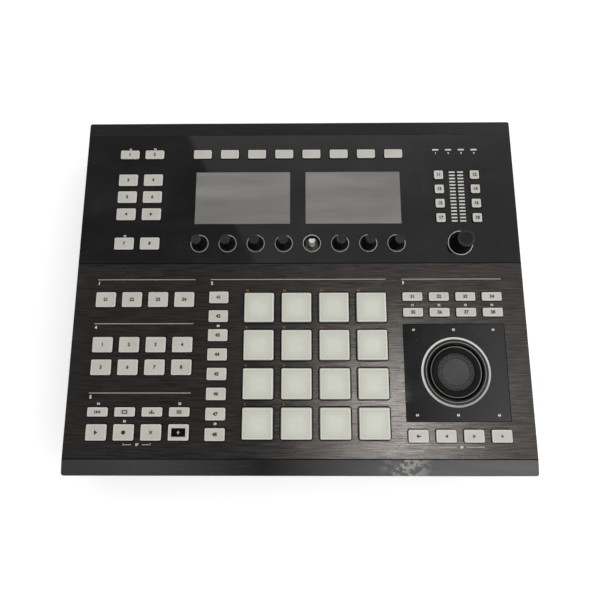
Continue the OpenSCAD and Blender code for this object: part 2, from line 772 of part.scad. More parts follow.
module top_frame() {
  color(strip_dark) {
    difference() {
      intersection() {
        translate([0, 0, seam_z])
          linear_extrude(top_z - seam_z)
            round_rect(case_w, case_d, corner_r);
        rotate([90, 0, 90])
          linear_extrude(case_w + 2, center = true)
            top_profile();
      }
      translate([0, 0, seam_z - overcut])
        linear_extrude(deck_z - seam_z + overcut)
          round_rect(case_w - 2 * wall, case_d - 2 * wall, max(corner_r - wall, least_r));
      deck_windows();
    }
    difference() {
      for (p = bosses)
        deck_post(p[0], p[1], floor_z + screw_seat_h, boss_d);
      for (p = bosses)
        translate([p[0], p[1], 0])
          cylinder(d = screw_d + running_gap, h = screw_seat_z + screw_l + overcut);
    }
    for (x = [menu_lane_x, level_lane_x], y = [soft_y, display_y, dial_y])
      deck_post(x, y, upper_board_z, standoff_d);
    for (x = [left_lane_x, right_lane_x], y = [performance_row, jog_row, transport_front_row])
      deck_post(x, from_plate(y), lower_board_z, standoff_d);
  }
}

// Holes for a block of keys, in a panel's outline
module key_holes(keys) {
  for (k = keys)
    translate([k[0], k[1]])
      round_rect(k[2] + 2 * key_gap, k[3] + 2 * key_gap, key_corner_r + key_gap);
}

// Where the light bars and lamps are, as [x, y, width, depth]
meter_list = [for (s = [-1, 1], i = [0:meter_count - 1])
  upper_key(level_x + s * meter_spread * across / 2, from_panel(meter_row + i * meter_pitch),
    meter_bar_w, meter_bar_d)];
lamp_list = [for (i = [0:lamp_count - 1])
  [level_x + (i - (lamp_count - 1) / 2) * lamp_pitch * across, lamp_y, lamp[0], lamp[1]]];

module display_panel() {
  color(gloss_black)
    translate([0, 0, glass_z])
      linear_extrude(glass_t)
        difference() {
          translate([-case_w / 2, panel_y + panel_gap])
            square([case_w, panel_d - 2 * panel_gap]);
          for (keys = upper_groups)
            key_holes(keys);
          for (s = [-1, 1])
            translate([middle + s * view_step / 2, display_y])
              square(view, center = true);
          for (i = [0:7])
            translate([dial_x(i), dial_y])
              circle(d = ring_d + 2 * ring_gap);
          translate([level_x, dial_y])
            circle(d = level_ring_d + 2 * ring_gap);
          for (l = concat(meter_list, lamp_list))
            translate([l[0], l[1]])
              square([l[2] + 2 * light_gap, l[3] + 2 * light_gap], center = true);
        }
}

module control_plate() {
  color(plate_grey)
    translate([0, 0, plate_z])
      linear_extrude(plate_t)
        difference() {
          translate([-case_w / 2, front_y + panel_gap])
            square([case_w, panel_y - front_y - 2 * panel_gap]);
          for (keys = lower_groups)
            key_holes(keys);
          for (p = pad_list)
            translate([p[0], p[1]])
              round_rect(pad_side + 2 * key_gap, pad_side + 2 * key_gap, pad_corner_r + key_gap);
          translate([jog_x, jog_y])
            square(jog_panel_size, center = true);
        }
}

module jog_panel() {
  collar_z = plate_z - jog_collar_h;
  color(gloss_black)
    translate([jog_x, jog_y, 0])
      difference() {
        union() {
          translate([0, 0, plate_z])
            linear_extrude(plate_t)
              square([jog_panel_size[0] - 2 * panel_gap, jog_panel_size[1] - 2 * panel_gap], center = true);
          translate([0, 0, collar_z])
            cylinder(d = jog_collar_d, h = jog_collar_h + plate_t / 2);
        }
        translate([0, 0, collar_z - overcut])
          cylinder(d = jog_bore_d, h = top_z);
        translate([0, 0, top_z - jog_lip / 2])
          cylinder(d1 = jog_bore_d, d2 = jog_bore_d + 4 * jog_lip, h = jog_lip);
        translate([0, 0, top_z - light_ring_t])
          ring(light_ring_d + 2 * light_gap, light_ring_d - 2 * light_ring_w - 2 * light_gap, top_z);
      }
}

// A plain flat ring from its outer and inner diameters
module ring(outer, inner, h) {
  difference() {
    cylinder(d = outer, h = h);
    translate([0, 0, -overcut])
      cylinder(d = inner, h = h + 2 * overcut);
  }
}

module jog_light_ring() {
  color("gainsboro")
    translate([jog_x, jog_y, top_z - light_ring_t])
      ring(light_ring_d, light_ring_d - 2 * light_ring_w, light_ring_t);
}

module display(side) {
  color("dimgray")
    translate([middle + side * view_step / 2, display_y, 0]) {
      translate([-module_w / 2, -module_d / 2, glass_z - module_t])
        cube([module_w, module_d, module_t]);
      translate([light_gap - view[0] / 2, light_gap - view[1] / 2, glass_z - module_t / 2])
        cube([view[0] - 2 * light_gap, view[1] - 2 * light_gap, glass_t + module_t / 2]);
    }
}

// A circuit board with its upper face at z
module board(y, z) {
  translate([-board_w / 2, y[0], z - board_t])
    cube([board_w, y[1] - y[0], board_t]);
}

module upper_board() {
  color(board_green)
    board(upper_board_y, upper_board_z);
}

module lower_board() {
  color(board_green)
    difference() {
      board(lower_board_y, lower_board_z);
      translate([jog_x, jog_y, lower_board_z - board_t - overcut])
        cylinder(d = jog_shoulder_d + 4 * module_gap, h = board_t + 2 * overcut);
    }
}

module socket_board() {
  color(board_green)
    block([socket_low_x, panel_in_y - socket_board_d, socket_z - board_t],
      [socket_high_x, panel_in_y - stop_gap, socket_z]);
}

// An encoder on the upper board, with its bushing up to the panel
module encoder() {
  bore_d = shaft_d + 2 * running_gap;
  difference() {
    union() {
      translate([-encoder_w / 2, -encoder_w / 2, upper_board_z])
        cube([encoder_w, encoder_w, encoder_h]);
      translate([0, 0, upper_board_z + encoder_h / 2])
        cylinder(d = bushing_d, h = top_z - bushing_low - upper_board_z - encoder_h / 2);
    }
    translate([0, 0, upper_board_z + encoder_h / 3])
      cylinder(d = bore_d, h = top_z);
  }
}

// Heights of the jog wheel's shaft and of the encoder that it turns in
wheel_cap_t = 2;
jog_encoder_z = lower_board_z - board_t - jog_encoder_h;
jog_seat_z = lower_board_z + stop_gap + jog_shoulder_t;
jog_bushing_z = jog_seat_z - jog_shoulder_t - jog_travel - stop_gap;
jog_bore_z = jog_encoder_z + jog_encoder_h / 6;
jog_end_z = jog_bore_z + jog_travel + shaft_end_gap;

module jog_encoder() {
  difference() {
    union() {
      translate([-jog_encoder_w / 2, -jog_encoder_w / 2, jog_encoder_z])
        cube([jog_encoder_w, jog_encoder_w, jog_encoder_h]);
      translate([0, 0, jog_encoder_z + jog_encoder_h / 2])
        cylinder(d = jog_shoulder_d, h = jog_bushing_z - jog_encoder_z - jog_encoder_h / 2);
    }
    translate([0, 0, jog_bore_z])
      cylinder(d = shaft_d + 2 * running_gap, h = top_z);
  }
}

module encoder_bodies() {
  color(steel) {
    for (i = [0:7])
      translate([dial_x(i), dial_y, 0])
        encoder();
    translate([level_x, dial_y, 0])
      encoder();
    translate([jog_x, jog_y, 0])
      jog_encoder();
  }
}

module knob_rings() {
  color(steel) {
    for (i = [0:7])
      translate([dial_x(i), dial_y, glass_z])
        ring(ring_d, ring_d - 2 * ring_w, glass_t + ring_proud);
    translate([level_x, dial_y, glass_z])
      ring(level_ring_d, level_ring_d - 2 * level_ring_w, glass_t + ring_proud);
  }
}

// Lights that stand in the panel's slots, joined by a strip under the panel
module light_comb(lights) {
  xs = [for (l = lights) l[0]];
  ys = [for (l = lights) l[1]];
  reach = [lights[0][2] / 2 + light_bar_rim, lights[0][3] / 2 + light_bar_rim];
  block([min(xs) - reach[0], min(ys) - reach[1], glass_z - light_bar_t],
    [max(xs) + reach[0], max(ys) + reach[1], glass_z]);
  for (l = lights)
    block([l[0] - l[2] / 2, l[1] - l[3] / 2, glass_z - light_bar_t / 2],
      [l[0] + l[2] / 2, l[1] + l[3] / 2, top_z]);
}

module status_lights() {
  color("lightgray") {
    for (s = [0, 1])
      light_comb([for (i = [0:meter_count - 1]) meter_list[s * meter_count + i]]);
    light_comb(lamp_list);
  }
}

// A socket's box on the socket board, behind the panel
module socket_box(x, size) {
  translate([x - size[0] / 2, panel_in_y - size[1], socket_z])
    cube(size);
}

// A round bar along Y, from one depth to another
module rear_bar(x, z, d, from, to) {
  translate([x, to, z])
    rotate([90, 0, 0])
      cylinder(d = d, h = to - from);
}

// A round socket: its well, and the core with pin holes that stands in the well
module midi_socket(x) {
  well_l = 9;
  pin_l = 6;
  well_y = panel_out_y - well_l;
  difference() {
    union() {
      socket_box(x, midi_body);
      rear_bar(x, midi_z, midi_face_d, panel_in_y - overcut, panel_out_y);
    }
    rear_bar(x, midi_z, midi_groove_d + midi_groove_w, well_y, panel_out_y + overcut);
  }
  difference() {
    rear_bar(x, midi_z, midi_groove_d - midi_groove_w, well_y + running_gap, panel_out_y);
    for (a = [0:45:180])
      rear_bar(x + midi_pin_circle / 2 * cos(a), midi_z + midi_pin_circle / 2 * sin(a), midi_pin_d,
        panel_out_y - pin_l, panel_out_y + overcut);
  }
}

module midi_sockets() {
  color(socket_black)
    for (i = [0:3])
      midi_socket(midi_x - i * midi_pitch);
}

module footswitch_jacks() {
  color(socket_black)
    for (i = [0, 1])
      difference() {
        union() {
          socket_box(jack_x - i * jack_pitch, jack_body);
          rear_bar(jack_x - i * jack_pitch, jack_z, jack_sleeve_d, panel_in_y - overcut, panel_out_y);
        }
        rear_bar(jack_x - i * jack_pitch, jack_z, jack_bore_d,
          panel_out_y - jack_bore_l, panel_out_y + overcut);
      }
}

module usb_socket() {
  mouth = [8.5, 9, 7.8];
  tongue = [5.6, 8, 3.2];
  color(steel) {
    difference() {
      block([usb_x - usb_body[0] / 2, panel_in_y - usb_body[1], socket_z],
        [usb_x + usb_body[0] / 2, panel_out_y, socket_z + usb_body[2]]);
      block([usb_x - mouth[0] / 2, panel_out_y - mouth[1], usb_z - mouth[2] / 2],
        [usb_x + mouth[0] / 2, panel_out_y + overcut, usb_z + mouth[2] / 2]);
    }
    block([usb_x - tongue[0] / 2, panel_out_y - mouth[1] - overcut, usb_z - tongue[2] / 2],
      [usb_x + tongue[0] / 2, panel_out_y - mouth[1] + tongue[1], usb_z + tongue[2] / 2]);
  }
}

module power_inlet() {
  bore_l = 10;
  pin_low = 1;
  color(socket_black) {
    difference() {
      union() {
        socket_box(inlet_x, inlet_body);
        rear_bar(inlet_x, inlet_z, inlet_collar_d, panel_in_y - overcut, panel_out_y);
      }
      rear_bar(inlet_x, inlet_z, inlet_bore_d, panel_out_y - bore_l, panel_out_y + overcut);
    }
    rear_bar(inlet_x, inlet_z, inlet_pin_d, panel_out_y - bore_l - overcut, panel_out_y - pin_low);
  }
}

module rear_panel() {
  color(case_dark)
    difference() {
      union() {
        translate([panel_x, (panel_in_y + panel_out_y) / 2, panel_z])
          cube([panel_w - 2 * panel_gap, panel_out_y - panel_in_y, panel_h - 2 * panel_gap], center = true);
        translate([panel_x, panel_in_y + panel_rim_t / 2, panel_z])
          cube([panel_w + 2 * panel_rim, panel_rim_t, panel_h + 2 * panel_rim], center = true);
      }
      for (i = [0:3])
        panel_hole(midi_x - i * midi_pitch, midi_z, midi_face_d + 2 * socket_gap);
      for (i = [0, 1])
        panel_hole(jack_x - i * jack_pitch, jack_z, jack_sleeve_d + 2 * socket_gap);
      panel_hole(inlet_x, inlet_z, inlet_collar_d + 2 * socket_gap);
      panel_hole(button_x, button_z, button_d + 2 * socket_gap);
      translate([usb_x, panel_out_y, usb_z])
        cube([usb_body[0] + 2 * socket_gap, 4 * wall, usb_body[2] + 2 * socket_gap], center = true);
      for (s = [-1, 1])
        panel_hole(lock_x + s * (lock_w - lock_h) / 2, panel_z, lock_h);
      translate([lock_x, panel_out_y, panel_z])
        cube([lock_w - lock_h, 4 * wall, lock_h], center = true);
    }
}

module panel_hole(x, z, d) {
  rear_bar(x, z, d, panel_in_y - overcut, panel_out_y + overcut);
}

// The button stands in the socket panel, and a flange behind it keeps it in
module power_button() {
  flange_out_y = panel_in_y - stop_gap;
  color(socket_black) {
    rear_bar(button_x, button_z, button_d, flange_out_y - flange_t / 2, panel_out_y + button_proud);
    rear_bar(button_x, button_z, button_d + 2 * flange_w, flange_out_y - flange_t, flange_out_y);
  }
}

module case_screws() {
  color(steel)
    for (p = bosses)
      translate([p[0], p[1], screw_seat_z]) {
        cylinder(d = screw_d, h = screw_l);
        translate([0, 0, -screw_head_h])
          cylinder(d = screw_head_d, h = screw_head_h);
      }
}

module rubber_feet() {
  bevel = 0.8;
  r = foot_d / 2;
  color(rubber_black)
    for (p = feet)
      translate([p[0], p[1], 0])
        rotate_extrude()
          polygon([[0, 0], [r - bevel, 0], [r, bevel], [r, foot_h + foot_seat], [0, foot_h + foot_seat]]);
}

// A turning shaft with a flat near its end, in an encoder
module dial_shaft() {
  low_z = upper_board_z + encoder_h / 3 + shaft_end_gap;
  end_z = top_z + shaft_h;
  difference() {
    translate([0, 0, low_z])
      cylinder(d = shaft_d, h = end_z - low_z);
    translate([-shaft_d, shaft_d / 2 - shaft_flat, end_z - shaft_flat_h])
      cube([2 * shaft_d, shaft_d, shaft_flat_h + overcut]);
  }
}

// A dial cap that tapers to a round-edged top, with a bore for its shaft
module dial_cap(base_d, top_d, dish_d, dish_h) {
  base_r = base_d / 2;
  top_r = top_d / 2;
  foot = 1.2;
  edge = knob_edge_r;
  height = knob_h - knob_lift;
  translate([0, 0, top_z + knob_lift])
    difference() {
      rotate_extrude()
        polygon(concat([[0, 0], [base_r, 0], [base_r, foot]],
          arc(top_r - edge, height - edge, edge, 0, 90),
          [[dish_d / 2, height], [max(dish_d / 2 - dish_h, 0), height - dish_h], [0, height - dish_h]]));
      translate([0, 0, -overcut])
        cylinder(d = shaft_d + 2 * running_gap, h = shaft_h - knob_lift + shaft_end_gap + overcut);
    }
}

module bare_shaft() {
  color(steel)
    translate([dial_x(BARE - 1), dial_y, 0])
      dial_shaft();
}

module knob(i) {
  translate([dial_x(i - 1), dial_y, 0]) {
    color(dial_black)
      dial_cap(knob_base_d, knob_top_d, knob_top_d - 3 * knob_edge_r, knob_dish_h);
    color(steel)
      dial_shaft();
  }
}

module level_knob() {
  translate([level_x, dial_y, 0]) {
    color(dial_black)
      dial_cap(level_knob_base_d, level_knob_top_d, level_dish_d, level_dish_h);
    color(steel)
      dial_shaft();
  }
}

// The jog wheel's push shaft, with the shoulder that carries the wheel
module jog_shaft() {
  end_z = top_z + wheel_proud - dish_h - wheel_cap_t;
  color(steel)
    translate([jog_x, jog_y, 0]) {
      translate([0, 0, jog_end_z])
        cylinder(d = shaft_d, h = end_z - jog_end_z);
      translate([0, 0, jog_seat_z - jog_shoulder_t])
        cylinder(d = jog_shoulder_d, h = jog_shoulder_t);
    }
}

module jog_wheel() {
  rim_z = top_z + wheel_proud;
  dish_z = rim_z - dish_h;
  skirt_z = jog_seat_z + stop_gap;
  bore_z = dish_z - wheel_cap_t + stop_gap;
  hollow = 0.5;
  rib_end = 0.5;
  rim_r = wheel_d / 2;
  band_r = rib_band_d / 2;
  color(dial_black)
    translate([jog_x, jog_y, 0])
      difference() {
        rotate_extrude()
          polygon(concat([[0, skirt_z], [wheel_skirt_d / 2, skirt_z],
            [wheel_skirt_d / 2, skirt_z + wheel_skirt_t], [rim_r, skirt_z + wheel_skirt_t + 1],
            [rim_r, rim_z - wheel_bevel / 2], [rim_r - wheel_bevel, rim_z], [band_r + dish_h, rim_z]],
            arc(band_r + dish_h, rim_z - dish_h, dish_h, 90, 180),
            [[dish_d / 2, dish_z], [dish_d / 2 - 2 * hollow, dish_z - hollow / 2], [0, dish_z - hollow]]));
        translate([0, 0, skirt_z - overcut])
          cylinder(d = shaft_d + 2 * running_gap, h = bore_z - skirt_z + overcut);
        for (i = [0:rib_count - 1])
          rotate([0, 0, i * 360 / rib_count])
            block([dish_d / 2 + rib_end, -rib_groove_w / 2, dish_z - rib_groove_h],
              [band_r - rib_end, rib_groove_w / 2, rim_z]);
      }
}

// A tilt foot folded into its pocket, with a barrel and two pegs at its pivot
module tilt_foot(side) {
  r = tilt_t / 2;
  tip_r = 2;
  color(case_dark)
    translate([side * tilt_x, tilt_y, tilt_z])
      rotate([0, 90, 0]) {
        linear_extrude(tilt_w, center = true) {
          circle(r);
          translate([-r, tip_r - tilt_l])
            square([2 * r, tilt_l - tip_r]);
          translate([tip_r - r, -tilt_l])
            square([2 * (r - tip_r), tilt_l]);
          for (s = [-1, 1])
            translate([s * (r - tip_r), tip_r - tilt_l])
              circle(tip_r);
        }
        cylinder(d = tilt_peg_d, h = tilt_w + 2 * (tilt_peg_l + tilt_gap / 2), center = true);
      }
}

// A key whose flange stays under its panel, with a post down to its switch
module key(k, panel_z, board_z) {
  flange_z = panel_z - stop_gap - flange_t;
  post_z = board_z + key_travel + stop_gap;
  translate([k[0], k[1], 0]) {
    translate([0, 0, flange_z])
      soft_block(k[2], k[3], top_z + key_proud - flange_z, key_corner_r, key_edge_r);
    translate([0, 0, flange_z])
      linear_extrude(flange_t)
        square([k[2] + 2 * flange_w, k[3] + 2 * flange_w], center = true);
    translate([0, 0, post_z])
      cylinder(d = post_d, h = flange_z + flange_t / 2 - post_z);
  }
}

module upper_keys(keys) {
  color(key_grey)
    for (k = keys)
      key(k, glass_z, upper_board_z);
}

module lower_keys(keys) {
  color(key_grey)
    for (k = keys)
      key(k, plate_z, lower_board_z);
}

module pad(i) {
  p = pad_place(i);
  flange_z = plate_z - stop_gap - flange_t;
  core_z = lower_board_z + pad_travel + stop_gap;
  side = pad_side + 2 * flange_w;
  color(pad_grey)
    translate([p[0], p[1], 0]) {
      translate([0, 0, flange_z])
        soft_block(pad_side, pad_side, top_z + pad_proud - flange_z, pad_corner_r, pad_edge_r);
      translate([-side / 2, -side / 2, flange_z])
        cube([side, side, flange_t]);
      translate([-core_side / 2, -core_side / 2, core_z])
        cube([core_side, core_side, flange_z + flange_t / 2 - core_z]);
    }
}

bottom_case();
top_frame();
rear_panel();
display_panel();
control_plate();
jog_panel();
jog_light_ring();
display(-1);  // left_display
display(1);  // right_display
upper_board();
lower_board();
socket_board();
encoder_bodies();
knob_rings();
status_lights();
midi_sockets();
footswitch_jacks();
usb_socket();
power_inlet();
case_screws();
rubber_feet();
jog_shaft();
jog_wheel();
bare_shaft();  // bare_shaft_5
level_knob();
tilt_foot(-1);  // left_tilt_foot
tilt_foot(1);  // right_tilt_foot
power_button();
upper_keys(menu_list);  // menu_keys
upper_keys(soft_list);  // soft_keys
upper_keys(level_list);  // level_keys
lower_keys(performance_list);  // performance_keys
lower_keys(group_list);  // group_keys
lower_keys(transport_list);  // transport_keys
lower_keys(mode_list);  // mode_keys
lower_keys(edit_list);  // edit_keys
lower_keys(nav_list);  // nav_keys
for (i = KNOBS) knob(i);
for (i = PADS) pad(i);
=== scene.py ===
"""The looks of a desktop pad controller: finishes, prints, fasteners, jog wheel and studio."""

import json
import math

import bmesh
import bpy
from mathutils import Matrix, Vector


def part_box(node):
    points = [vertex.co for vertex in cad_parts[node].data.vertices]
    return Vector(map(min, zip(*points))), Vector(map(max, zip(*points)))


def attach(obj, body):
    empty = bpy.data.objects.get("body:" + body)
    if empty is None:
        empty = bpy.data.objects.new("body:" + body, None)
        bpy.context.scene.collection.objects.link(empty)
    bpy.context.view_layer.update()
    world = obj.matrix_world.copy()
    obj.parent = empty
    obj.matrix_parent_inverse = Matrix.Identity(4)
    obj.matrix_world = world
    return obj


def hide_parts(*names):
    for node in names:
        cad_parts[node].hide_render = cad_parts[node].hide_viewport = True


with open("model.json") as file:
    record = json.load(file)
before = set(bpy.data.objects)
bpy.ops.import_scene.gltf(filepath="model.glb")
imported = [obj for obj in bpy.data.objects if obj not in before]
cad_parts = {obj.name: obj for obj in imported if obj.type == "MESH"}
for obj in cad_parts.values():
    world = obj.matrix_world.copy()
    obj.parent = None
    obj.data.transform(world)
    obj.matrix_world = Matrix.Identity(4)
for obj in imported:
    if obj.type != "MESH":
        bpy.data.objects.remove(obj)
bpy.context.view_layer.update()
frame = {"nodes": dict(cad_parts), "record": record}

MM = 0.001
TOP_Z = 45 * MM  # upper face of the panels
CASE = "case"


# Helpers for node trees

class Tree:
    """A node tree that is filled one node at a time."""

    def __init__(self, tree):
        self.tree = tree

    def add(self, kind, inputs=None, **settings):
        node = self.tree.nodes.new(kind)
        for name, value in settings.items():
            setattr(node, name, value)
        for socket, value in (inputs or {}).items():
            self.put(node.inputs[socket], value)
        return node

    def put(self, socket, value):
        if isinstance(value, bpy.types.NodeSocket):
            self.tree.links.new(value, socket)
        else:
            socket.default_value = value

    def maths(self, operation, first, second=0.0):
        kind = "ShaderNodeMath"
        return self.add(kind, {0: first, 1: second}, operation=operation).outputs[0]

    def times(self, first, second):
        return self.maths("MULTIPLY", first, second)

    def plus(self, first, second):
        return self.maths("ADD", first, second)

    def ease(self, value, low, high, start=0.0, end=1.0):
        """Maps a value from low..high to start..end, and holds it at both ends."""
        values = {"Value": value, "From Min": low, "From Max": high, "To Min": start, "To Max": end}
        return self.add("ShaderNodeMapRange", values).outputs[0]


class Finish(Tree):
    """A material of one Principled surface, on the piece's Object coordinates in metres."""

    def __init__(self, name):
        self.material = bpy.data.materials.new(name)
        self.material.use_nodes = True
        super().__init__(self.material.node_tree)
        self.shader = self.tree.nodes["Principled BSDF"]
        self.coords = self.add("ShaderNodeTexCoord").outputs["Object"]

    def surface(self, values):
        for socket, value in values.items():
            self.put(self.shader.inputs[socket], value)
        return self.material

    def moved(self, stretch, offset=(0, 0, 0)):
        values = {"Vector": self.coords, "Scale": stretch, "Location": offset}
        return self.add("ShaderNodeMapping", values).outputs[0]

    def cloud(self, waves, detail=2.0, offset=(0, 0, 0)):
        """Noise from 0 to 1, with this many waves per metre along each axis."""
        stretch = waves if isinstance(waves, tuple) else (waves, waves, waves)
        values = {"Vector": self.moved(stretch, offset), "Scale": 1.0, "Detail": detail}
        return self.add("ShaderNodeTexNoise", values).outputs[0]

    def specks(self, per_metre, size, share):
        """Small spots, 1 inside a spot: size is against the cell, share is how many cells have one."""
        cells = self.add("ShaderNodeTexVoronoi", {"Vector": self.coords, "Scale": per_metre})
        spot = self.ease(cells.outputs["Distance"], size * 0.6, size, 1.0, 0.0)
        pick = self.add("ShaderNodeSeparateColor", {0: cells.outputs["Color"]}).outputs[0]
        return self.times(spot, self.maths("LESS_THAN", pick, share))

    def between(self, share, first, second):
        node = self.add("ShaderNodeMix", data_type="RGBA")
        for socket, value in ((0, share), (6, first), (7, second)):
            self.put(node.inputs[socket], value)
        return node.outputs[2]

    def distance(self, centre, flat=False):
        """How far a point is from a centre or, where flat, from the upright axis through it."""
        x, y, z = centre
        arm = self.moved((1, 1, 0), (-x, -y, 0)) if flat else self.moved((1, 1, 1), (-x, -y, -z))
        return self.add("ShaderNodeVectorMath", {0: arm}, operation="LENGTH").outputs["Value"]

    def relief(self, height, depth):
        return self.add("ShaderNodeBump", {"Height": height, "Distance": depth}).outputs[0]

    def axis(self, name):
        return self.add("ShaderNodeSeparateXYZ", {0: self.coords}).outputs[name]


def tint(red, green, blue):
    """A colour as it shows on a screen, turned into the linear colour that a shader takes."""
    parts = [c / 255 for c in (red, green, blue)]
    linear = [c / 12.92 if c <= 0.04045 else ((c + 0.055) / 1.055) ** 2.4 for c in parts]
    return (*linear, 1.0)


def shade(colour, level):
    """The same colour, darker or paler."""
    return (*[c * level for c in colour[:3]], 1.0)


# Finishes

def moulded_plastic(name, colour, rough, grain_depth, grain_waves=1500, shine=0.5):
    """Moulded plastic with a fine spark texture, slightly cloudy, with handling marks."""
    f = Finish(name)
    cloudy = f.ease(f.cloud(28, 3), 0.35, 0.65)
    handled = f.ease(f.cloud(70, 4, (3, 1, 2)), 0.35, 0.7)
    rub = f.specks(240, 0.16, 0.12)
    base = f.between(cloudy, shade(colour, 0.86), shade(colour, 1.14))
    return f.surface({
        "Base Color": f.between(f.times(rub, 0.25), base, shade(colour, 2.2)),
        "Roughness": f.ease(handled, 0, 1, rough - 0.05, rough + 0.07),
        "Specular IOR Level": shine,
        "Normal": f.relief(f.cloud(grain_waves, 2), grain_depth),
    })


def strip_plastic(name):
    """The satin strips at the rear and the front, with fine scratches and pale scuffs in front, and a
    painted reflection on the front strip, paler to the right and darkest left of the middle.
    """
    f = Finish(name)
    x = f.axis("X")
    front_starts = (-0.150, -0.160)
    dim_reflection_x, dim_reflection_reach = -0.033, 0.12  # the stretch of the front strip that is darkest
    scuff_starts, scuff_ends = (0.072, 0.096), (0.124, 0.108)
    front = f.ease(f.axis("Y"), *front_starts)
    cloudy = f.ease(f.cloud((9, 60, 60), 3), 0.3, 0.7)
    scratches = f.ease(f.cloud((60, 2400, 60), 3, (1, 0, 0)), 0.62, 0.8)
    scuffs = f.ease(f.cloud((240, 300, 55), 6, (2.3, 0.4, 0)), 0.46, 0.58)
    reach = f.times(f.ease(x, *scuff_starts), f.ease(x, *scuff_ends))
    scuffed = f.times(scuffs, f.times(front, reach))
    rear = f.between(cloudy, tint(14, 14, 15), tint(22, 21, 22))
    off = f.maths("ABSOLUTE", f.maths("SUBTRACT", x, dim_reflection_x))
    # Painted reflection: the front strip turns paler to the right and dark round one stretch, standing
    # for the room it mirrors.
    paler = f.between(f.ease(x, -0.2, 0.2), tint(54, 53, 53), tint(90, 88, 88))
    paler = f.between(f.ease(off, 0.0, dim_reflection_reach), tint(12, 11, 11), paler)
    base = f.between(front, rear, f.between(f.times(cloudy, 0.3), paler, tint(30, 29, 29)))
    worn = f.plus(f.times(scratches, 0.18), f.times(scuffed, 0.75))
    return f.surface({
        "Base Color": f.between(worn, base, tint(150, 148, 143)),
        "Roughness": f.ease(cloudy, 0, 1, 0.38, 0.5),
        "Specular IOR Level": 0.25,
        "Normal": f.relief(f.cloud(1700, 2), 0.03 * MM),
    })


def gloss_acrylic(name, bore=None):
    """Black gloss with wiped smears and dust. A round bore (its axis, its radius) has a satin bevel."""
    f = Finish(name)
    wiped = f.ease(f.cloud((10, 26, 10), 5, (0.7, 0.2, 0)), 0.45, 0.75)
    streaks = f.ease(f.cloud((90, 14, 14), 3), 0.5, 0.8)
    film = f.times(wiped, f.ease(streaks, 0, 1, 0.6, 1.0))
    dust = f.specks(300, 0.09, 0.12)
    fine_dust = f.specks(900, 0.12, 0.2)
    dirt = f.plus(f.times(dust, 0.35), f.times(fine_dust, 0.12))
    base = f.between(f.times(film, 0.6), tint(10, 10, 11), tint(44, 43, 41))
    rough = f.plus(f.ease(film, 0, 1, 0.03, 0.14), f.times(dirt, 0.5))
    shine, coat = 0.5, 0.25
    if bore:
        axis, reach = bore
        inside = f.ease(f.distance(axis, flat=True), reach + 0.1 * MM, reach)
        rough = f.plus(rough, f.times(inside, 0.55))
        shine, coat = f.ease(inside, 0, 1, shine, 0.28), f.ease(inside, 0, 1, coat, 0.0)
    return f.surface({
        "Base Color": f.between(dirt, base, tint(168, 165, 158)),
        "Roughness": rough,
        "Specular IOR Level": shine,
        "Coat Weight": coat,
        "Coat Roughness": 0.04,
    })


def brushed_plate(name):
    """Dark metal brushed from side to side, with grain of three widths."""
    f = Finish(name)
    hair = f.cloud((36, 5200, 1), 2)
    fine = f.cloud((40, 800, 1), 3, (0.4, 0, 0))
    broad = f.cloud((12, 210, 1), 4, (0.9, 0, 0))
    grain = f.plus(f.times(fine, 0.84), f.times(broad, 0.16))
    smudge = f.ease(f.cloud((13, 20, 13), 4), 0.45, 0.75)
    dust = f.times(f.specks(420, 0.12, 0.3), 0.3)
    base = f.between(f.ease(grain, 0.3, 0.7), tint(52, 49, 47), tint(84, 81, 78))
    return f.surface({
        "Base Color": f.between(dust, base, tint(190, 188, 182)),
        "Metallic": 0.85,
        "Roughness": f.plus(f.ease(grain, 0.3, 0.7, 0.23, 0.28), f.times(smudge, 0.05)),
        "Normal": f.relief(f.plus(hair, fine), 0.05 * MM),
    })


def key_plastic(name, top_z):
    """Pale translucent plastic, a little glossy from use, with painted shade that darkens its sides."""
    f = Finish(name)
    # Painted shade: below the top each key's sides turn dark, as in the shadow of the gap.
    side = f.ease(f.axis("Z"), top_z - 0.3 * MM, top_z - 0.6 * MM)
    cloudy = f.ease(f.cloud(45, 3), 0.3, 0.7)
    grime = f.ease(f.cloud((320, 320, 320), 4), 0.55, 0.8)
    base = f.between(cloudy, tint(176, 174, 166), tint(186, 184, 176))
    face = f.between(f.times(grime, 0.16), base, tint(128, 124, 115))
    return f.surface({
        "Base Color": f.between(side, face, tint(62, 60, 56)),
        "Roughness": f.ease(f.cloud(140, 4), 0.3, 0.7, 0.38, 0.5),
        "Specular IOR Level": 0.32,
        "Normal": f.relief(f.cloud(1900, 2), 0.012 * MM),
    })


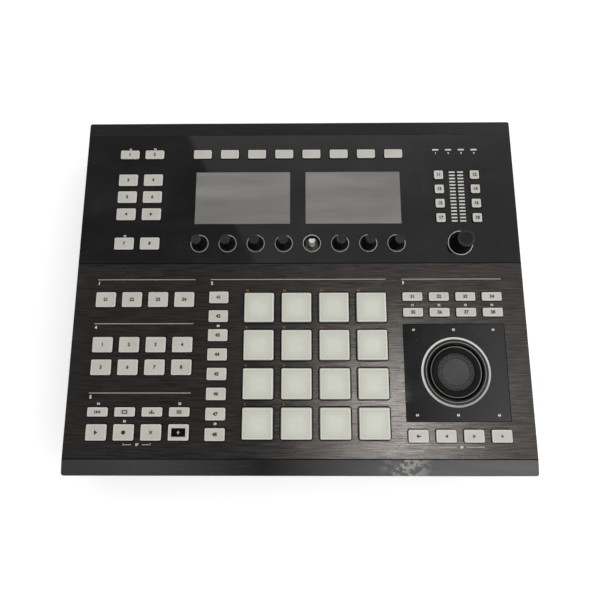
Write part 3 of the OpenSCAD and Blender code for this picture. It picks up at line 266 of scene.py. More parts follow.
def pad_silicone(name, first, pitch, reach):
    """Soft translucent silicone, paler in the middle of each pad, with a painted highlight along its
    rim and painted shade on its outer bevel.
    """
    f = Finish(name)

    def from_middle(axis, start):
        cell = f.maths("DIVIDE", f.maths("SUBTRACT", f.axis(axis), start - pitch / 2), pitch)
        off = f.maths("SUBTRACT", f.maths("FRACT", cell), 0.5)
        return f.times(f.maths("ABSOLUTE", off), pitch / reach)

    across, along = from_middle("X", first.x), from_middle("Y", first.y)
    far = f.maths("MAXIMUM", across, along)
    round_far = f.maths("SQRT", f.plus(f.times(across, across), f.times(along, along)))
    edge = f.ease(f.plus(f.times(far, 0.6), f.times(round_far, 0.4)), 0.35, 1.05)
    cloudy = f.ease(f.cloud(60, 4), 0.3, 0.7)
    grime = f.ease(f.cloud(420, 5), 0.52, 0.8)
    base = f.between(edge, tint(197, 199, 188), tint(178, 178, 167))
    base = f.between(f.times(cloudy, 0.25), base, tint(184, 182, 170))
    # Painted highlight: a pale band just inside the edge of each pad.
    rim = f.times(f.ease(far, 0.885, 0.91), f.ease(far, 0.955, 0.93))
    base = f.between(f.times(rim, 0.6), base, tint(222, 223, 213))
    # Painted shade: the outermost bevel of each pad turns dark.
    base = f.between(f.ease(far, 0.955, 1.0), base, tint(120, 118, 108))
    return f.surface({
        "Base Color": f.between(f.times(grime, 0.2), base, tint(150, 148, 136)),
        "Roughness": f.ease(cloudy, 0, 1, 0.5, 0.62),
        "Subsurface Weight": 0.08,
        "Subsurface Radius": (1.2 * MM, 1.2 * MM, 1.0 * MM),
        "Subsurface Scale": 1.0,
        "Normal": f.relief(f.cloud(1200, 3), 0.02 * MM),
    })


def soft_touch(name, face_z):
    """Rubber-coated dial caps, dusty on the face that fingers reach, with painted shade that makes the
    sides below the face near black.
    """
    f = Finish(name)
    dust = f.ease(f.cloud(520, 5), 0.5, 0.85)
    face = f.ease(f.axis("Z"), face_z - 0.4 * MM, face_z)
    worn = f.between(f.ease(f.cloud(60, 2), 0.3, 0.7), tint(36, 36, 37), tint(46, 46, 47))
    # Painted shade: below the face the colour falls to near black.
    base = f.between(face, tint(4, 4, 4), worn)
    return f.surface({
        "Base Color": f.between(f.times(f.times(dust, face), 0.25), base, tint(120, 117, 110)),
        "Roughness": f.ease(dust, 0, 1, 0.5, 0.72),
        "Specular IOR Level": 0.08,
        "Normal": f.relief(f.cloud(2300, 2), 0.02 * MM),
    })


def turned_metal(name, colour, rough, centre=(0, 0, 0), bare=1.0):
    """Metal with fine turning marks round a centre: bare is how metallic it is, the rest being plain
    diffuse colour.
    """
    f = Finish(name)
    marks_per_metre = 4200
    turns = f.maths("SINE", f.times(f.distance(centre), 2 * math.pi * marks_per_metre))
    worn = f.ease(f.cloud(160, 4), 0.35, 0.7)
    return f.surface({
        "Base Color": f.between(worn, shade(colour, 0.86), shade(colour, 1.1)),
        "Metallic": bare,
        "Roughness": f.ease(worn, 0, 1, rough - 0.05, rough + 0.08),
        "Normal": f.relief(turns, 0.006 * MM),
    })


def silver_paint(name, colour):
    """Fine metal flakes in a satin lacquer."""
    f = Finish(name)
    flakes = f.ease(f.cloud(2600, 2), 0.35, 0.65)
    return f.surface({
        "Base Color": f.between(flakes, shade(colour, 0.88), shade(colour, 1.08)),
        "Metallic": 0.35,
        "Roughness": f.ease(f.cloud(180, 3), 0.3, 0.7, 0.3, 0.42),
    })


def display_face(name):
    """An unlit display behind its cover: a fine cell grid under a satin surface."""
    f = Finish(name)
    cells = f.add("ShaderNodeTexBrick", {
        "Vector": f.coords, "Scale": 1.0, "Mortar Size": 0.02 * MM, "Brick Width": 0.2 * MM,
        "Row Height": 0.2 * MM, "Color1": tint(122, 121, 118), "Color2": tint(116, 115, 113),
        "Mortar": tint(92, 91, 89)}, offset=0.0).outputs["Color"]
    wiped = f.ease(f.cloud((7, 46, 7), 5, (0.6, 0.3, 0)), 0.42, 0.72)
    dust = f.times(f.specks(420, 0.12, 0.3), 0.4)
    base = f.between(f.times(wiped, 0.5), cells, tint(146, 145, 141))
    return f.surface({
        "Base Color": f.between(dust, base, tint(190, 188, 182)),
        "Roughness": f.ease(wiped, 0, 1, 0.07, 0.2),
        "IOR": 1.5,
    })


def light_guide(name, colour):
    """Milky light guides of the lamps and the meter."""
    f = Finish(name)
    milky = f.ease(f.cloud(110, 3), 0.3, 0.7)
    return f.surface({
        "Base Color": f.between(milky, shade(colour, 0.92), shade(colour, 1.06)),
        "Roughness": f.ease(f.cloud(300, 3), 0.3, 0.7, 0.22, 0.36),
        "Subsurface Weight": 0.1,
        "Subsurface Radius": (0.8 * MM, 0.8 * MM, 0.8 * MM),
        "Subsurface Scale": 1.0,
    })


def ring_guide(name, centre):
    """The jog wheel's clear ring over its diffuser, duller towards the front."""
    f = Finish(name)
    milky = f.ease(f.cloud(140, 3), 0.3, 0.7)
    reach, dark_edge = 33 * MM, 31 * MM
    front = f.ease(f.axis("Y"), centre.y + reach * 0.5, centre.y - reach)
    inner = f.ease(f.distance(centre, flat=True), dark_edge + 0.2 * MM, dark_edge)
    base = f.between(milky, tint(186, 186, 184), tint(200, 200, 197))
    base = f.between(front, base, tint(138, 138, 137))
    return f.surface({
        "Base Color": f.between(inner, base, tint(48, 48, 48)),
        "Roughness": f.ease(f.cloud(300, 3), 0.3, 0.7, 0.18, 0.3),
    })


def circuit_board(name):
    """Green lacquer over copper tracks."""
    f = Finish(name)
    tracks = f.add("ShaderNodeTexBrick", {
        "Vector": f.coords, "Scale": 1.0, "Mortar Size": 0.35 * MM, "Brick Width": 9 * MM,
        "Row Height": 2.6 * MM, "Color1": tint(8, 22, 15), "Color2": tint(10, 27, 18),
        "Mortar": tint(22, 42, 28)}).outputs["Color"]
    pads = f.specks(180, 0.16, 0.4)
    return f.surface({
        "Base Color": f.between(pads, tracks, tint(150, 146, 132)),
        "Roughness": f.ease(f.cloud(80, 3), 0.3, 0.7, 0.28, 0.42),
    })


def rubber(name):
    """Dull rubber that holds lint."""
    f = Finish(name)
    lint = f.specks(700, 0.15, 0.2)
    base = f.between(f.ease(f.cloud(120, 4), 0.3, 0.7), tint(26, 26, 26), tint(40, 40, 39))
    return f.surface({
        "Base Color": f.between(f.times(lint, 0.4), base, tint(130, 126, 118)),
        "Roughness": f.ease(f.cloud(200, 3), 0.3, 0.7, 0.72, 0.88),
        "Normal": f.relief(f.cloud(1300, 3), 0.05 * MM),
    })


def ink(name, colour, shine=0.5):
    """Screen print, thin in places."""
    f = Finish(name)
    thin = f.ease(f.cloud(900, 4), 0.3, 0.8)
    return f.surface({
        "Base Color": f.between(thin, shade(colour, 0.9), shade(colour, 1.08)),
        "Roughness": f.ease(thin, 0, 1, 0.45, 0.6),
        "Specular IOR Level": shine,
    })


def rounded(box, inset, radius):
    """The outline of a box seen from above, inset from its sides, with round corners."""
    low, high = box
    radius, steps = max(radius - inset, 0.1 * MM), 5
    inward = inset + radius
    corners = ((high.x, high.y), (low.x, high.y), (low.x, low.y), (high.x, low.y))
    points = []
    for corner, (x, y) in enumerate(corners):
        x += -inward if x == high.x else inward
        y += -inward if y == high.y else inward
        for step in range(steps + 1):
            turn = (corner + step / steps) * math.pi / 2
            points.append((x + radius * math.cos(turn), y + radius * math.sin(turn)))
    return points


def band(bm, outer, inner, low, high):
    """A flat closed band between two outlines of as many points."""
    rows = [[bm.verts.new((x, y, z)) for x, y in line]
            for line, z in ((outer, low), (outer, high), (inner, high), (inner, low))]
    for first, second in zip(rows, rows[1:] + rows[:1]):
        for i in range(len(outer)):
            j = (i + 1) % len(outer)
            bm.faces.new((first[i], first[j], second[j], second[i]))


def solids_of(node, above=0.0):
    """Boxes of what each solid of a node has above a height, in rows from the rear, left to right."""
    microns, micron = 1e6, 1e-6  # corners of loose triangles are matched on whole micrometres
    mesh = frame["nodes"][node].data
    spots = [tuple(round(c * microns) for c in v.co) for v in mesh.vertices]
    lead = {spot: spot for spot in spots}

    def leader(spot):
        while lead[spot] != spot:
            lead[spot] = lead[lead[spot]]
            spot = lead[spot]
        return spot

    for face in mesh.polygons:
        first = leader(spots[face.vertices[0]])
        for corner in face.vertices[1:]:
            lead[leader(spots[corner])] = first
    groups = {}
    for spot in lead:
        groups.setdefault(leader(spot), []).append(spot)
    boxes = []
    for group in groups.values():
        columns = list(zip(*[spot for spot in group if spot[2] >= above * microns]))
        boxes.append((Vector(map(min, columns)) * micron, Vector(map(max, columns)) * micron))
    per_row = 500  # half of 1000, so a row is a middle in whole millimetres
    return sorted(boxes, key=lambda box: (-round((box[0].y + box[1].y) * per_row), box[0].x))


def middle(node):
    """The middle of a node's box."""
    low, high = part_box(node)
    return (low + high) / 2


jog_axis = middle("jog_wheel")
pad_tops = [solids_of(f"pad_{n}", TOP_Z)[0] for n in range(1, 17)]
pad_low, pad_high = pad_tops[0]
pad_first = middle("pad_1")
pad_pitch = middle("pad_2").x - pad_first.x
JOG_BORE = (jog_axis, 28.2 * MM)

CASE_BLACK = moulded_plastic("grained case plastic", tint(34, 34, 36), 0.56, 0.05 * MM)
STRIP = strip_plastic("satin strip plastic")
GLOSS = gloss_acrylic("black gloss panel")
JOG_GLOSS = gloss_acrylic("black gloss jog panel", JOG_BORE)
BRUSHED = brushed_plate("brushed dark plate")
KEY = key_plastic("pale key plastic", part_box("menu_keys")[1].z)
PAD = pad_silicone("pale pad silicone", pad_first, pad_pitch, (pad_high.x - pad_low.x) / 2)
DIAL = soft_touch("soft-touch dial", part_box("knob_1")[1].z - 0.2 * MM)
# Painted glint: part plain pale diffuse colour, so the shafts show bright where bare metal would mirror
# the dark room.
STEEL = turned_metal("bright steel", tint(232, 231, 227), 0.24, bare=0.55)
RING = silver_paint("satin ring silver", tint(206, 205, 200))
DULL_STEEL = turned_metal("dull steel", tint(96, 95, 92), 0.4)
DISPLAY = display_face("unlit display")
GUIDE = light_guide("milky light guide", tint(196, 195, 190))
RING_GUIDE = ring_guide("milky ring guide", jog_axis)
BOARD = circuit_board("green circuit board")
SOCKET = moulded_plastic("black socket plastic", tint(24, 24, 25), 0.4, 0.015 * MM, 2200)
SCREW = turned_metal("blackened screw steel", tint(92, 91, 90), 0.38)
RUBBER = rubber("black foot rubber")
JOG = moulded_plastic("satin jog plastic", tint(10, 10, 11), 0.62, 0.012 * MM, 2400, 0.1)
# Painted glints: the dots are pale so that they show bright on the dark wheel.
JOG_DOT_GLINTS = moulded_plastic("dusty grip dots", tint(122, 120, 118), 0.5, 0.01 * MM, 2400)
# Painted highlight on the edge of the jog opening.
COLLAR_HIGHLIGHT = turned_metal("grey collar edge", tint(134, 132, 128), 0.6, jog_axis)
JOG_BAND = turned_metal("jog rim metal", tint(124, 120, 114), 0.55, jog_axis)
JOG_DISH = turned_metal("jog dish metal", tint(62, 61, 61), 0.46, jog_axis)
BRASS = turned_metal("contact brass", tint(200, 170, 104), 0.3)
WHITE_INK = ink("white print", tint(204, 203, 198))
LINE_INK = ink("stone print", tint(160, 155, 146))
# Black print, dark seams and painted gap shadow.
BLACK_INK_AND_GAP_SHADOW = ink("black edge line", tint(10, 10, 10), 0.05)
# Painted highlight along the rims of the keys.
KEY_RIM_HIGHLIGHT = ink("pale key rim", tint(202, 200, 193))
DARK_INK = ink("dark print", tint(24, 23, 22))
RED_INK = ink("red print", tint(158, 64, 44))

SLOT_FINISH = {
    "case_plastic": CASE_BLACK, "strip_plastic": STRIP, "gloss_panel": GLOSS,
    "brushed_plate": BRUSHED, "light_plastic": GUIDE, "display_glass": DISPLAY,
    "circuit_board": BOARD, "bright_steel": STEEL, "ring_metal": RING, "socket_plastic": SOCKET,
    "screw_steel": SCREW, "foot_rubber": RUBBER, "jog_plastic": JOG, "dial_plastic": DIAL,
    "key_plastic": KEY, "pad_rubber": PAD,
}
NODE_FINISH = {
    "jog_light_ring": RING_GUIDE, "jog_panel": JOG_GLOSS, "encoder_bodies": DULL_STEEL,
    "usb_socket": DULL_STEEL,
}

for row in frame["record"]["subparts"]:
    materials = frame["nodes"][row["node"]].data.materials
    materials.clear()
    materials.append(NODE_FINISH.get(row["node"], SLOT_FINISH[row["material_slot"]]))


# Helpers for pieces

SHARP = math.radians(32)
MERGE = 1e-7  # corners that are nearer than this become one


def settle(obj, body, stands_for=()):
    """Puts a finished piece on its body, and hides the plain parts it stands for."""
    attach(obj, body)
    if stands_for:
        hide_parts(*stands_for)
    return obj


def soften(bm):
    """Smooth shading, with the sharp edges kept."""
    for face in bm.faces:
        face.smooth = True
    for edge in bm.edges:
        edge.smooth = edge.is_manifold and edge.calc_face_angle() < SHARP


def write_mesh(bm, mesh):
    """Closes the seams, turns the faces outwards and writes the result to a mesh."""
    bmesh.ops.remove_doubles(bm, verts=bm.verts, dist=MERGE)
    bmesh.ops.recalc_face_normals(bm, faces=bm.faces)
    soften(bm)
    bm.to_mesh(mesh)
    bm.free()


def add_object(name, data):
    """Puts a mesh, a text, a lamp or a camera into the scene."""
    obj = bpy.data.objects.new(name, data)
    bpy.context.collection.objects.link(obj)
    return obj


def plain_mesh(obj):
    """What an object comes to, as a mesh of its own."""
    return bpy.data.meshes.new_from_object(obj.evaluated_get(bpy.context.evaluated_depsgraph_get()))


def new_piece(name, bm, finish, body, stands_for=()):
    """Makes a piece from what was drawn, and settles it."""
    mesh = bpy.data.meshes.new(name)
    write_mesh(bm, mesh)
    mesh.materials.append(finish)
    return settle(add_object(name, mesh), body, stands_for)


def lathe(bm, profile, centre, steps):
    """Turns a closed profile of (radius, height), in millimetres, about an upright axis."""
    rows = []
    for radius, height in profile:
        r, z = radius * MM, height * MM
        angles = [2 * math.pi * i / steps for i in range(1 if radius == 0 else steps)]
        spots = [(centre.x + r * math.cos(a), centre.y + r * math.sin(a), z) for a in angles]
        rows.append([bm.verts.new(spot) for spot in spots])
    ends_on_axis = profile[0][0] == 0 and profile[-1][0] == 0
    pairs = list(zip(rows, rows[1:])) + ([] if ends_on_axis else [(rows[-1], rows[0])])
    for low, high in pairs:
        if len(low) == 1 and len(high) == 1:
            continue
        for i in range(steps):
            j = (i + 1) % steps
            ring = [low[i % len(low)], low[j % len(low)], high[j % len(high)], high[i % len(high)]]
            bm.faces.new(list(dict.fromkeys(ring)))


def bend(x, z, radius, start, end, steps=5):
    """Points of an arc in a profile, angles in degrees."""
    angles = [math.radians(start + (end - start) * i / steps) for i in range(steps + 1)]
    return [(x + radius * math.cos(a), z + radius * math.sin(a)) for a in angles]


def prism(bm, outline, low, high):
    """An upright block on an outline of (x, y) in metres."""
    lower = [bm.verts.new((x, y, low)) for x, y in outline]
    upper = [bm.verts.new((x, y, high)) for x, y in outline]
    bm.faces.new(upper)
    bm.faces.new(lower[::-1])
    for i, vert in enumerate(lower):
        j = (i + 1) % len(lower)
        bm.faces.new((vert, lower[j], upper[j], upper[i]))


class Grower(Tree):
    """A Geometry Nodes tree with named inputs, which ends in Realize Instances and Set Material."""

    KINDS = {"length": "NodeSocketFloat", "count": "NodeSocketInt", "place": "NodeSocketVector"}

    def __init__(self, name, inputs):
        group = bpy.data.node_groups.new(name, "GeometryNodeTree")
        ports = group.interface
        ports.new_socket("Seats", in_out="INPUT", socket_type="NodeSocketGeometry")
        for label, kind in inputs.items():
            ports.new_socket(label, in_out="INPUT", socket_type=self.KINDS[kind])
        ports.new_socket("Finish", in_out="INPUT", socket_type="NodeSocketMaterial")
        ports.new_socket("Made", in_out="OUTPUT", socket_type="NodeSocketGeometry")
        super().__init__(group)
        self.given = self.add("NodeGroupInput").outputs

    def vector(self, x=0.0, y=0.0, z=0.0):
        return self.add("ShaderNodeCombineXYZ", {0: x, 1: y, 2: z}).outputs[0]

    def shifted(self, geometry, place, turn=(0, 0, 0)):
        values = {"Geometry": geometry, "Translation": place, "Rotation": turn}
        return self.add("GeometryNodeTransform", values).outputs[0]

    def cylinder(self, radius, depth, sides):
        values = {"Vertices": sides, "Radius": radius, "Depth": depth}
        return self.add("GeometryNodeMeshCylinder", values)

    def cut(self, body, *tools):
        node = self.add("GeometryNodeMeshBoolean", {0: body}, operation="DIFFERENCE", solver="EXACT")
        for tool in tools:
            self.put(node.inputs[1], tool)
        return node.outputs[0]

    def joined(self, *parts):
        node = self.add("GeometryNodeJoinGeometry")
        for part in parts:
            self.put(node.inputs[0], part)
        return node.outputs[0]

    def on_seats(self, seats, instance, scale=(1, 1, 1)):
        values = {"Points": seats, "Instance": instance, "Scale": scale}
        return self.add("GeometryNodeInstanceOnPoints", values).outputs[0]

    def ended(self, geometry):
        """Ends the tree with real geometry in the given finish."""
        solid = self.add("GeometryNodeRealizeInstances", {0: geometry}).outputs[0]
        values = {"Geometry": solid, "Material": self.given["Finish"]}
        coated = self.add("GeometryNodeSetMaterial", values).outputs[0]
        self.put(self.add("NodeGroupOutput").inputs[0], coated)
        return self.tree


def grow(name, tree, seats, values, finish, body, stands_for=()):
    """Runs a tree on seat points, and keeps its result as a plain mesh."""
    start = bpy.data.meshes.new(name)
    start.from_pydata([tuple(s) for s in seats], [], [])
    obj = add_object(name, start)
    maker = obj.modifiers.new("maker", "NODES")
    maker.node_group = tree
    given = {**values, "Finish": finish}
    for item in tree.interface.items_tree:
        if item.in_out == "INPUT" and item.name in given:
            maker[item.identifier] = given[item.name]
    made = plain_mesh(obj)
    obj.modifiers.remove(maker)
    bm = bmesh.new()
    bm.from_mesh(made)
    write_mesh(bm, made)
    obj.data = made
    return settle(obj, body, stands_for)


# Fasteners, feet and contacts

def screw_tree():
    """A domed head with a cross recess, which hangs below its seat, and a shank above it."""
    tree = Grower("cross-head case screw", {
        "Head Radius": "length", "Head Height": "length", "Shank Radius": "length",
        "Shank Length": "length", "Recess Length": "length", "Recess Width": "length"})
    given = tree.given
    height = given["Head Height"]
    rim_share, crown_share, crown_top = 0.6, 0.4, 0.74
    head = tree.cylinder(given["Head Radius"], tree.times(height, rim_share), 32)
    crown = tree.add("GeometryNodeExtrudeMesh", {
        "Mesh": head.outputs["Mesh"], "Selection": head.outputs["Bottom"],
        "Offset Scale": tree.times(height, crown_share)})
    domed = tree.add("GeometryNodeScaleElements", {
        "Geometry": crown.outputs["Mesh"], "Selection": crown.outputs["Top"], "Scale": crown_top})
    seated = tree.shifted(domed.outputs[0], tree.vector(z=tree.times(height, -rim_share / 2)))
    recess_place = tree.vector(z=tree.times(height, -0.95))
    arms = []
    for long, wide in (("Recess Length", "Recess Width"), ("Recess Width", "Recess Length")):
        size = tree.vector(given[long], given[wide], height)
        arm = tree.add("GeometryNodeMeshCube", {"Size": size}).outputs[0]
        arms.append(tree.shifted(arm, recess_place))
    shank = tree.cylinder(given["Shank Radius"], given["Shank Length"], 16).outputs["Mesh"]
    rise = tree.times(given["Shank Length"], 0.5)
    whole = tree.joined(tree.cut(seated, *arms), tree.shifted(shank, tree.vector(z=rise)))
    return tree.ended(tree.on_seats(given["Seats"], whole))


def add_screws():
    """The case screws, in the places of the plain ones."""
    boxes = solids_of("case_screws")
    head_height, head_radius, shank_radius = 2.2 * MM, 2.75 * MM, 1.4 * MM
    seats = [((a.x + b.x) / 2, (a.y + b.y) / 2, a.z + head_height) for a, b in boxes]
    grow("case_screw_heads", screw_tree(), seats, {
        "Head Radius": head_radius, "Head Height": head_height, "Shank Radius": shank_radius,
        "Shank Length": boxes[0][1].z - boxes[0][0].z - head_height,
        "Recess Length": 3.0 * MM, "Recess Width": 0.8 * MM,
    }, SCREW, CASE, ["case_screws"])


def add_rubber_feet():
    """Round feet with two grooves in the tread."""
    grooves, mouth, floor, depth, corner = (3.4, 5.4), 0.45, 0.3, 0.45, 0.8
    bm = bmesh.new()
    for low, high in solids_of("rubber_feet"):
        r, top = (high.x - low.x) / 2 / MM, high.z / MM
        tread = [(0, 0.25), (1.6, 0)]
        for g in grooves:
            tread += [(g - mouth, 0), (g - floor, depth), (g + floor, depth), (g + mouth, 0)]
        outline = tread + bend(r - corner, corner, corner, -90, 0) + [(r, top), (0, top)]
        lathe(bm, outline, (low + high) / 2, 48)
    new_piece("foot_treads", bm, RUBBER, CASE, ["rubber_feet"])


def contact_tree():
    """A sleeve that lies from front to rear and is open to the rear."""
    tree = Grower("socket contact sleeve", {
        "Outer Radius": "length", "Bore Radius": "length", "Length": "length"})
    given = tree.given
    length = given["Length"]
    outer = tree.cylinder(given["Outer Radius"], length, 16).outputs["Mesh"]
    bore = tree.cylinder(given["Bore Radius"], tree.times(length, 1.4), 12).outputs["Mesh"]
    lift = tree.vector(z=tree.times(length, 0.3))
    sleeve = tree.cut(outer, tree.shifted(bore, lift))
    quarter = (-math.pi / 2, 0, 0)
    return tree.ended(tree.on_seats(given["Seats"], tree.shifted(sleeve, (0, 0, 0), quarter)))


def add_contacts():
    """Brass sleeves in the pin holes of the round sockets."""
    low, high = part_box("midi_sockets")
    circle, length, sunk = 3.6 * MM, 4.6 * MM, 0.9 * MM
    sockets, body_half = 4, 10 * MM
    first, last = low.x + body_half, high.x - body_half
    seats = []
    for i in range(sockets):
        x = first + (last - first) * i / (sockets - 1)
        for a in range(0, 181, 45):
            turn = math.radians(a)
            seats.append((x + circle * math.cos(turn), high.y - sunk - length / 2,
                          (low.z + high.z) / 2 + circle * math.sin(turn)))
    grow("socket_contacts", contact_tree(), seats, {
        "Outer Radius": 0.74 * MM, "Bore Radius": 0.45 * MM, "Length": length}, BRASS, CASE)


def rib_tree():
    """Round ribs side by side, each from left to right."""
    tree = Grower("tilt foot grip ribs", {
        "First": "place", "Step": "place", "Ribs": "count", "Rib Radius": "length",
        "Rib Length": "length"})
    given = tree.given
    line = tree.add("GeometryNodeMeshLine", {
        "Count": given["Ribs"], "Start Location": given["First"], "Offset": given["Step"]}).outputs[0]
    rod = tree.cylinder(given["Rib Radius"], given["Rib Length"], 12).outputs["Mesh"]
    lying = tree.shifted(rod, (0, 0, 0), (0, math.pi / 2, 0))
    return tree.ended(tree.on_seats(line, lying))


def add_foot_ribs():
    """Grip ribs near the free end of each tilt foot, on its underside."""
    tree = rib_tree()
    for side in ("left", "right"):
        low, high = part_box(f"{side}_tilt_foot")
        values = {
            "First": ((low.x + high.x) / 2, low.y + 5 * MM, low.z + 0.1 * MM),
            "Step": (0, 2.2 * MM, 0), "Ribs": 5, "Rib Radius": 0.35 * MM, "Rib Length": 30 * MM}
        grow(f"{side}_tilt_foot_ribs", tree, [(0, 0, 0)], values, CASE_BLACK, f"{side}_tilt")


# The jog wheel

JOG_SIDES = 128


def dot_tree():
    """Rings of flattened balls, each ring turned by half a step against the one inside it."""
    tree = Grower("jog wheel dots", {
        "Centre": "place", "First Radius": "length", "Ring Step": "length", "Rings": "count",
        "Dots": "count", "Dot Radius": "length", "Dot Height": "length"})
    given = tree.given
    index = tree.add("GeometryNodeInputIndex").outputs[0]
    ring = tree.maths("FLOOR", tree.maths("DIVIDE", index, given["Dots"]))
    step = tree.plus(tree.maths("MODULO", index, given["Dots"]), tree.times(ring, 0.5))
    turn = tree.times(tree.maths("DIVIDE", step, given["Dots"]), 2 * math.pi)
    radius = tree.plus(given["First Radius"], tree.times(ring, given["Ring Step"]))
    arm = tree.vector(tree.times(radius, tree.maths("COSINE", turn)),
                      tree.times(radius, tree.maths("SINE", turn)))
    place = tree.add("ShaderNodeVectorMath", {0: arm, 1: given["Centre"]}, operation="ADD").outputs[0]
    count = tree.times(given["Dots"], given["Rings"])
    points = tree.add("GeometryNodePoints", {"Count": count, "Position": place}).outputs[0]
    dot = tree.add("GeometryNodeMeshUVSphere", {"Segments": 8, "Rings": 4, "Radius": 1.0}).outputs[0]
    size = tree.vector(given["Dot Radius"], given["Dot Radius"], given["Dot Height"])
    return tree.ended(tree.on_seats(points, dot, size))


def add_jog_wheel():
    """The wheel with its rim band, a field of small dots and a smooth dish."""
    low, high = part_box("jog_wheel")
    skirt, rim = low.z / MM, high.z / MM
    skirt_r, rim_r, bore_r = (high.x - low.x) / 2 / MM, 24.0, 3.1
    field_r, field_sunk = 17.65, 0.9
    field_z = rim - field_sunk
    dish_r, dish_gap = 13.0, 0.05
    dish_z = field_z - 0.6
    plug_r, plug_z = bore_r - 0.1, field_z - 1.6
    bm = bmesh.new()
    lathe(bm, [(bore_r, skirt), (skirt_r, skirt), (skirt_r, skirt + 1.2), (rim_r, skirt + 2.2)]
          + [(rim_r, rim - 1.0), (22.5, rim - 0.28)] + bend(22.0, rim - 0.3, 0.3, 60, 90, 3)
          + [(field_r + field_sunk, rim)]
          + bend(field_r + field_sunk, field_z, field_sunk, 90, 180, 6)[1:]
          + [(dish_r + dish_gap, field_z), (dish_r + dish_gap, dish_z), (bore_r, dish_z)],
          jog_axis, JOG_SIDES)
    new_piece("jog_wheel_body", bm, JOG, "jog", ["jog_wheel"])

    bm = bmesh.new()
    lathe(bm, [(rim_r - 0.02, rim - 1.1), (rim_r + 0.08, rim - 0.95), (rim_r + 0.05, rim - 0.85),
               (rim_r - 0.6, rim - 0.6), (rim_r - 0.7, rim - 0.75)], jog_axis, JOG_SIDES)
    new_piece("jog_rim_band", bm, JOG_BAND, "jog")

    bm = bmesh.new()
    top, corner = field_z + 0.05, 0.25
    lathe(bm, [(0, plug_z), (plug_r, plug_z), (plug_r, dish_z), (dish_r, dish_z)]
          + bend(dish_r - corner, top - corner, corner, 0, 90, 4)
          + [(dish_r - 1.2, top - 0.1), (dish_r - 4, top - 0.3), (dish_r - 8, top - 0.43),
             (0, top - 0.48)],
          jog_axis, JOG_SIDES)
    new_piece("jog_dish", bm, JOG_DISH, "jog")

    grow("jog_grip_dots", dot_tree(), [(0, 0, 0)], {
        "Centre": (jog_axis.x, jog_axis.y, field_z * MM), "First Radius": 13.75 * MM,
        "Ring Step": 1.12 * MM, "Rings": 4, "Dots": 66, "Dot Radius": 0.36 * MM,
        "Dot Height": 0.26 * MM}, JOG_DOT_GLINTS, "jog")


def add_jog_collar():
    """A painted highlight: a pale ring on the edge of the opening round the jog wheel."""
    radius, foot, crown, rise, top = 28.4, 0.3, 0.15, 0.06, TOP_Z / MM
    bm = bmesh.new()
    lathe(bm, [(radius - foot, top), (radius + foot, top), (radius + crown, top + rise),
               (radius - crown, top + rise)], jog_axis, JOG_SIDES)
    new_piece("jog_collar_highlight", bm, COLLAR_HIGHLIGHT, CASE)


# Printed numbers, signs and lines

PRINT_T = 0.03 * MM
CAP_SHARE = 0.7  # height of a figure against the text's size
STROKE_SHARE = 0.075  # how far a figure's strokes are widened, against its height
SIGN_SCALE = 1.25  # a sign against a figure on a key
KEY_CORNER, PAD_CORNER = 1.5 * MM, 2.0 * MM


def bar(x0, y0, x1, y1):
    """A block between two corners."""
    return [(x0, y0), (x1, y0), (x1, y1), (x0, y1)]


def wedge(x, width, half=0.45):
    """A triangle that points along x, from its upright side at x."""
    return [(x, -half), (x + width, 0), (x, half)]


def disc(radius, steps=24):
    """A round spot."""
    angles = [2 * math.pi * i / steps for i in range(steps)]
    return [(radius * math.cos(a), radius * math.sin(a)) for a in angles]


def cross(long=0.5, wide=0.11):
    """Two crossed strokes, turned by an eighth."""
    arm = [(wide, wide), (long, wide), (long, -wide)]
    quarter = math.sqrt(0.5)
    corners = []
    for turn in range(4):
        c, s = (1, 0, -1, 0)[turn], (0, -1, 0, 1)[turn]
        corners += [(x * c - y * s, x * s + y * c) for x, y in arm]
    return [((x - y) * quarter, (x + y) * quarter) for x, y in corners]


SIGNS = {
    "left": [wedge(0.35, -0.75)],
    "right": [wedge(-0.35, 0.75)],
    "rewind": [bar(-0.75, -0.45, -0.6, 0.45), wedge(0.05, -0.6), wedge(0.7, -0.6)],
    "play": [wedge(-0.4, 0.85, 0.55)],
    "record": [disc(0.5)],
    "cross": [cross()],
    "bars": [bar(-0.6, -0.45, -0.28, 0.1), bar(-0.16, -0.45, 0.16, 0.45),
             bar(0.28, -0.45, 0.6, -0.1)],
    "grid": [bar(x, y, x + 0.34, y + 0.34) for x in (-0.6, -0.17, 0.26) for y in (-0.4, 0.06)],
    "loop": [bar(-0.7, 0.18, 0.7, 0.42), bar(-0.7, -0.42, 0.7, -0.18),
             bar(-0.7, -0.18, -0.44, 0.18), bar(0.44, -0.18, 0.7, 0.18)],
    "back": [[(-0.6, 0), (0, 0.5), (0, 0.14), (0.6, 0.14), (0.6, -0.14), (0, -0.14), (0, -0.5)]],
    "up": [[(-0.5, -0.1), (0, 0.5), (0.5, -0.1), (0.17, -0.1), (0.17, -0.5), (-0.17, -0.5),
            (-0.17, -0.1)]],
    "dot": [disc(0.3, 16)],
}


def figure_mesh(text, cap):
    """Plain figures as a closed mesh, centred on the origin, with widened strokes."""
    curve = bpy.data.curves.new("figure", "FONT")
    curve.body = text
    curve.size = cap / CAP_SHARE
    curve.align_x, curve.align_y = "CENTER", "CENTER"
    curve.extrude = PRINT_T
    curve.offset = cap * STROKE_SHARE
    curve.resolution_u = 3
    obj = add_object("figure", curve)
    mesh = plain_mesh(obj)
    bpy.data.objects.remove(obj)
    bpy.data.curves.remove(curve)
    return mesh


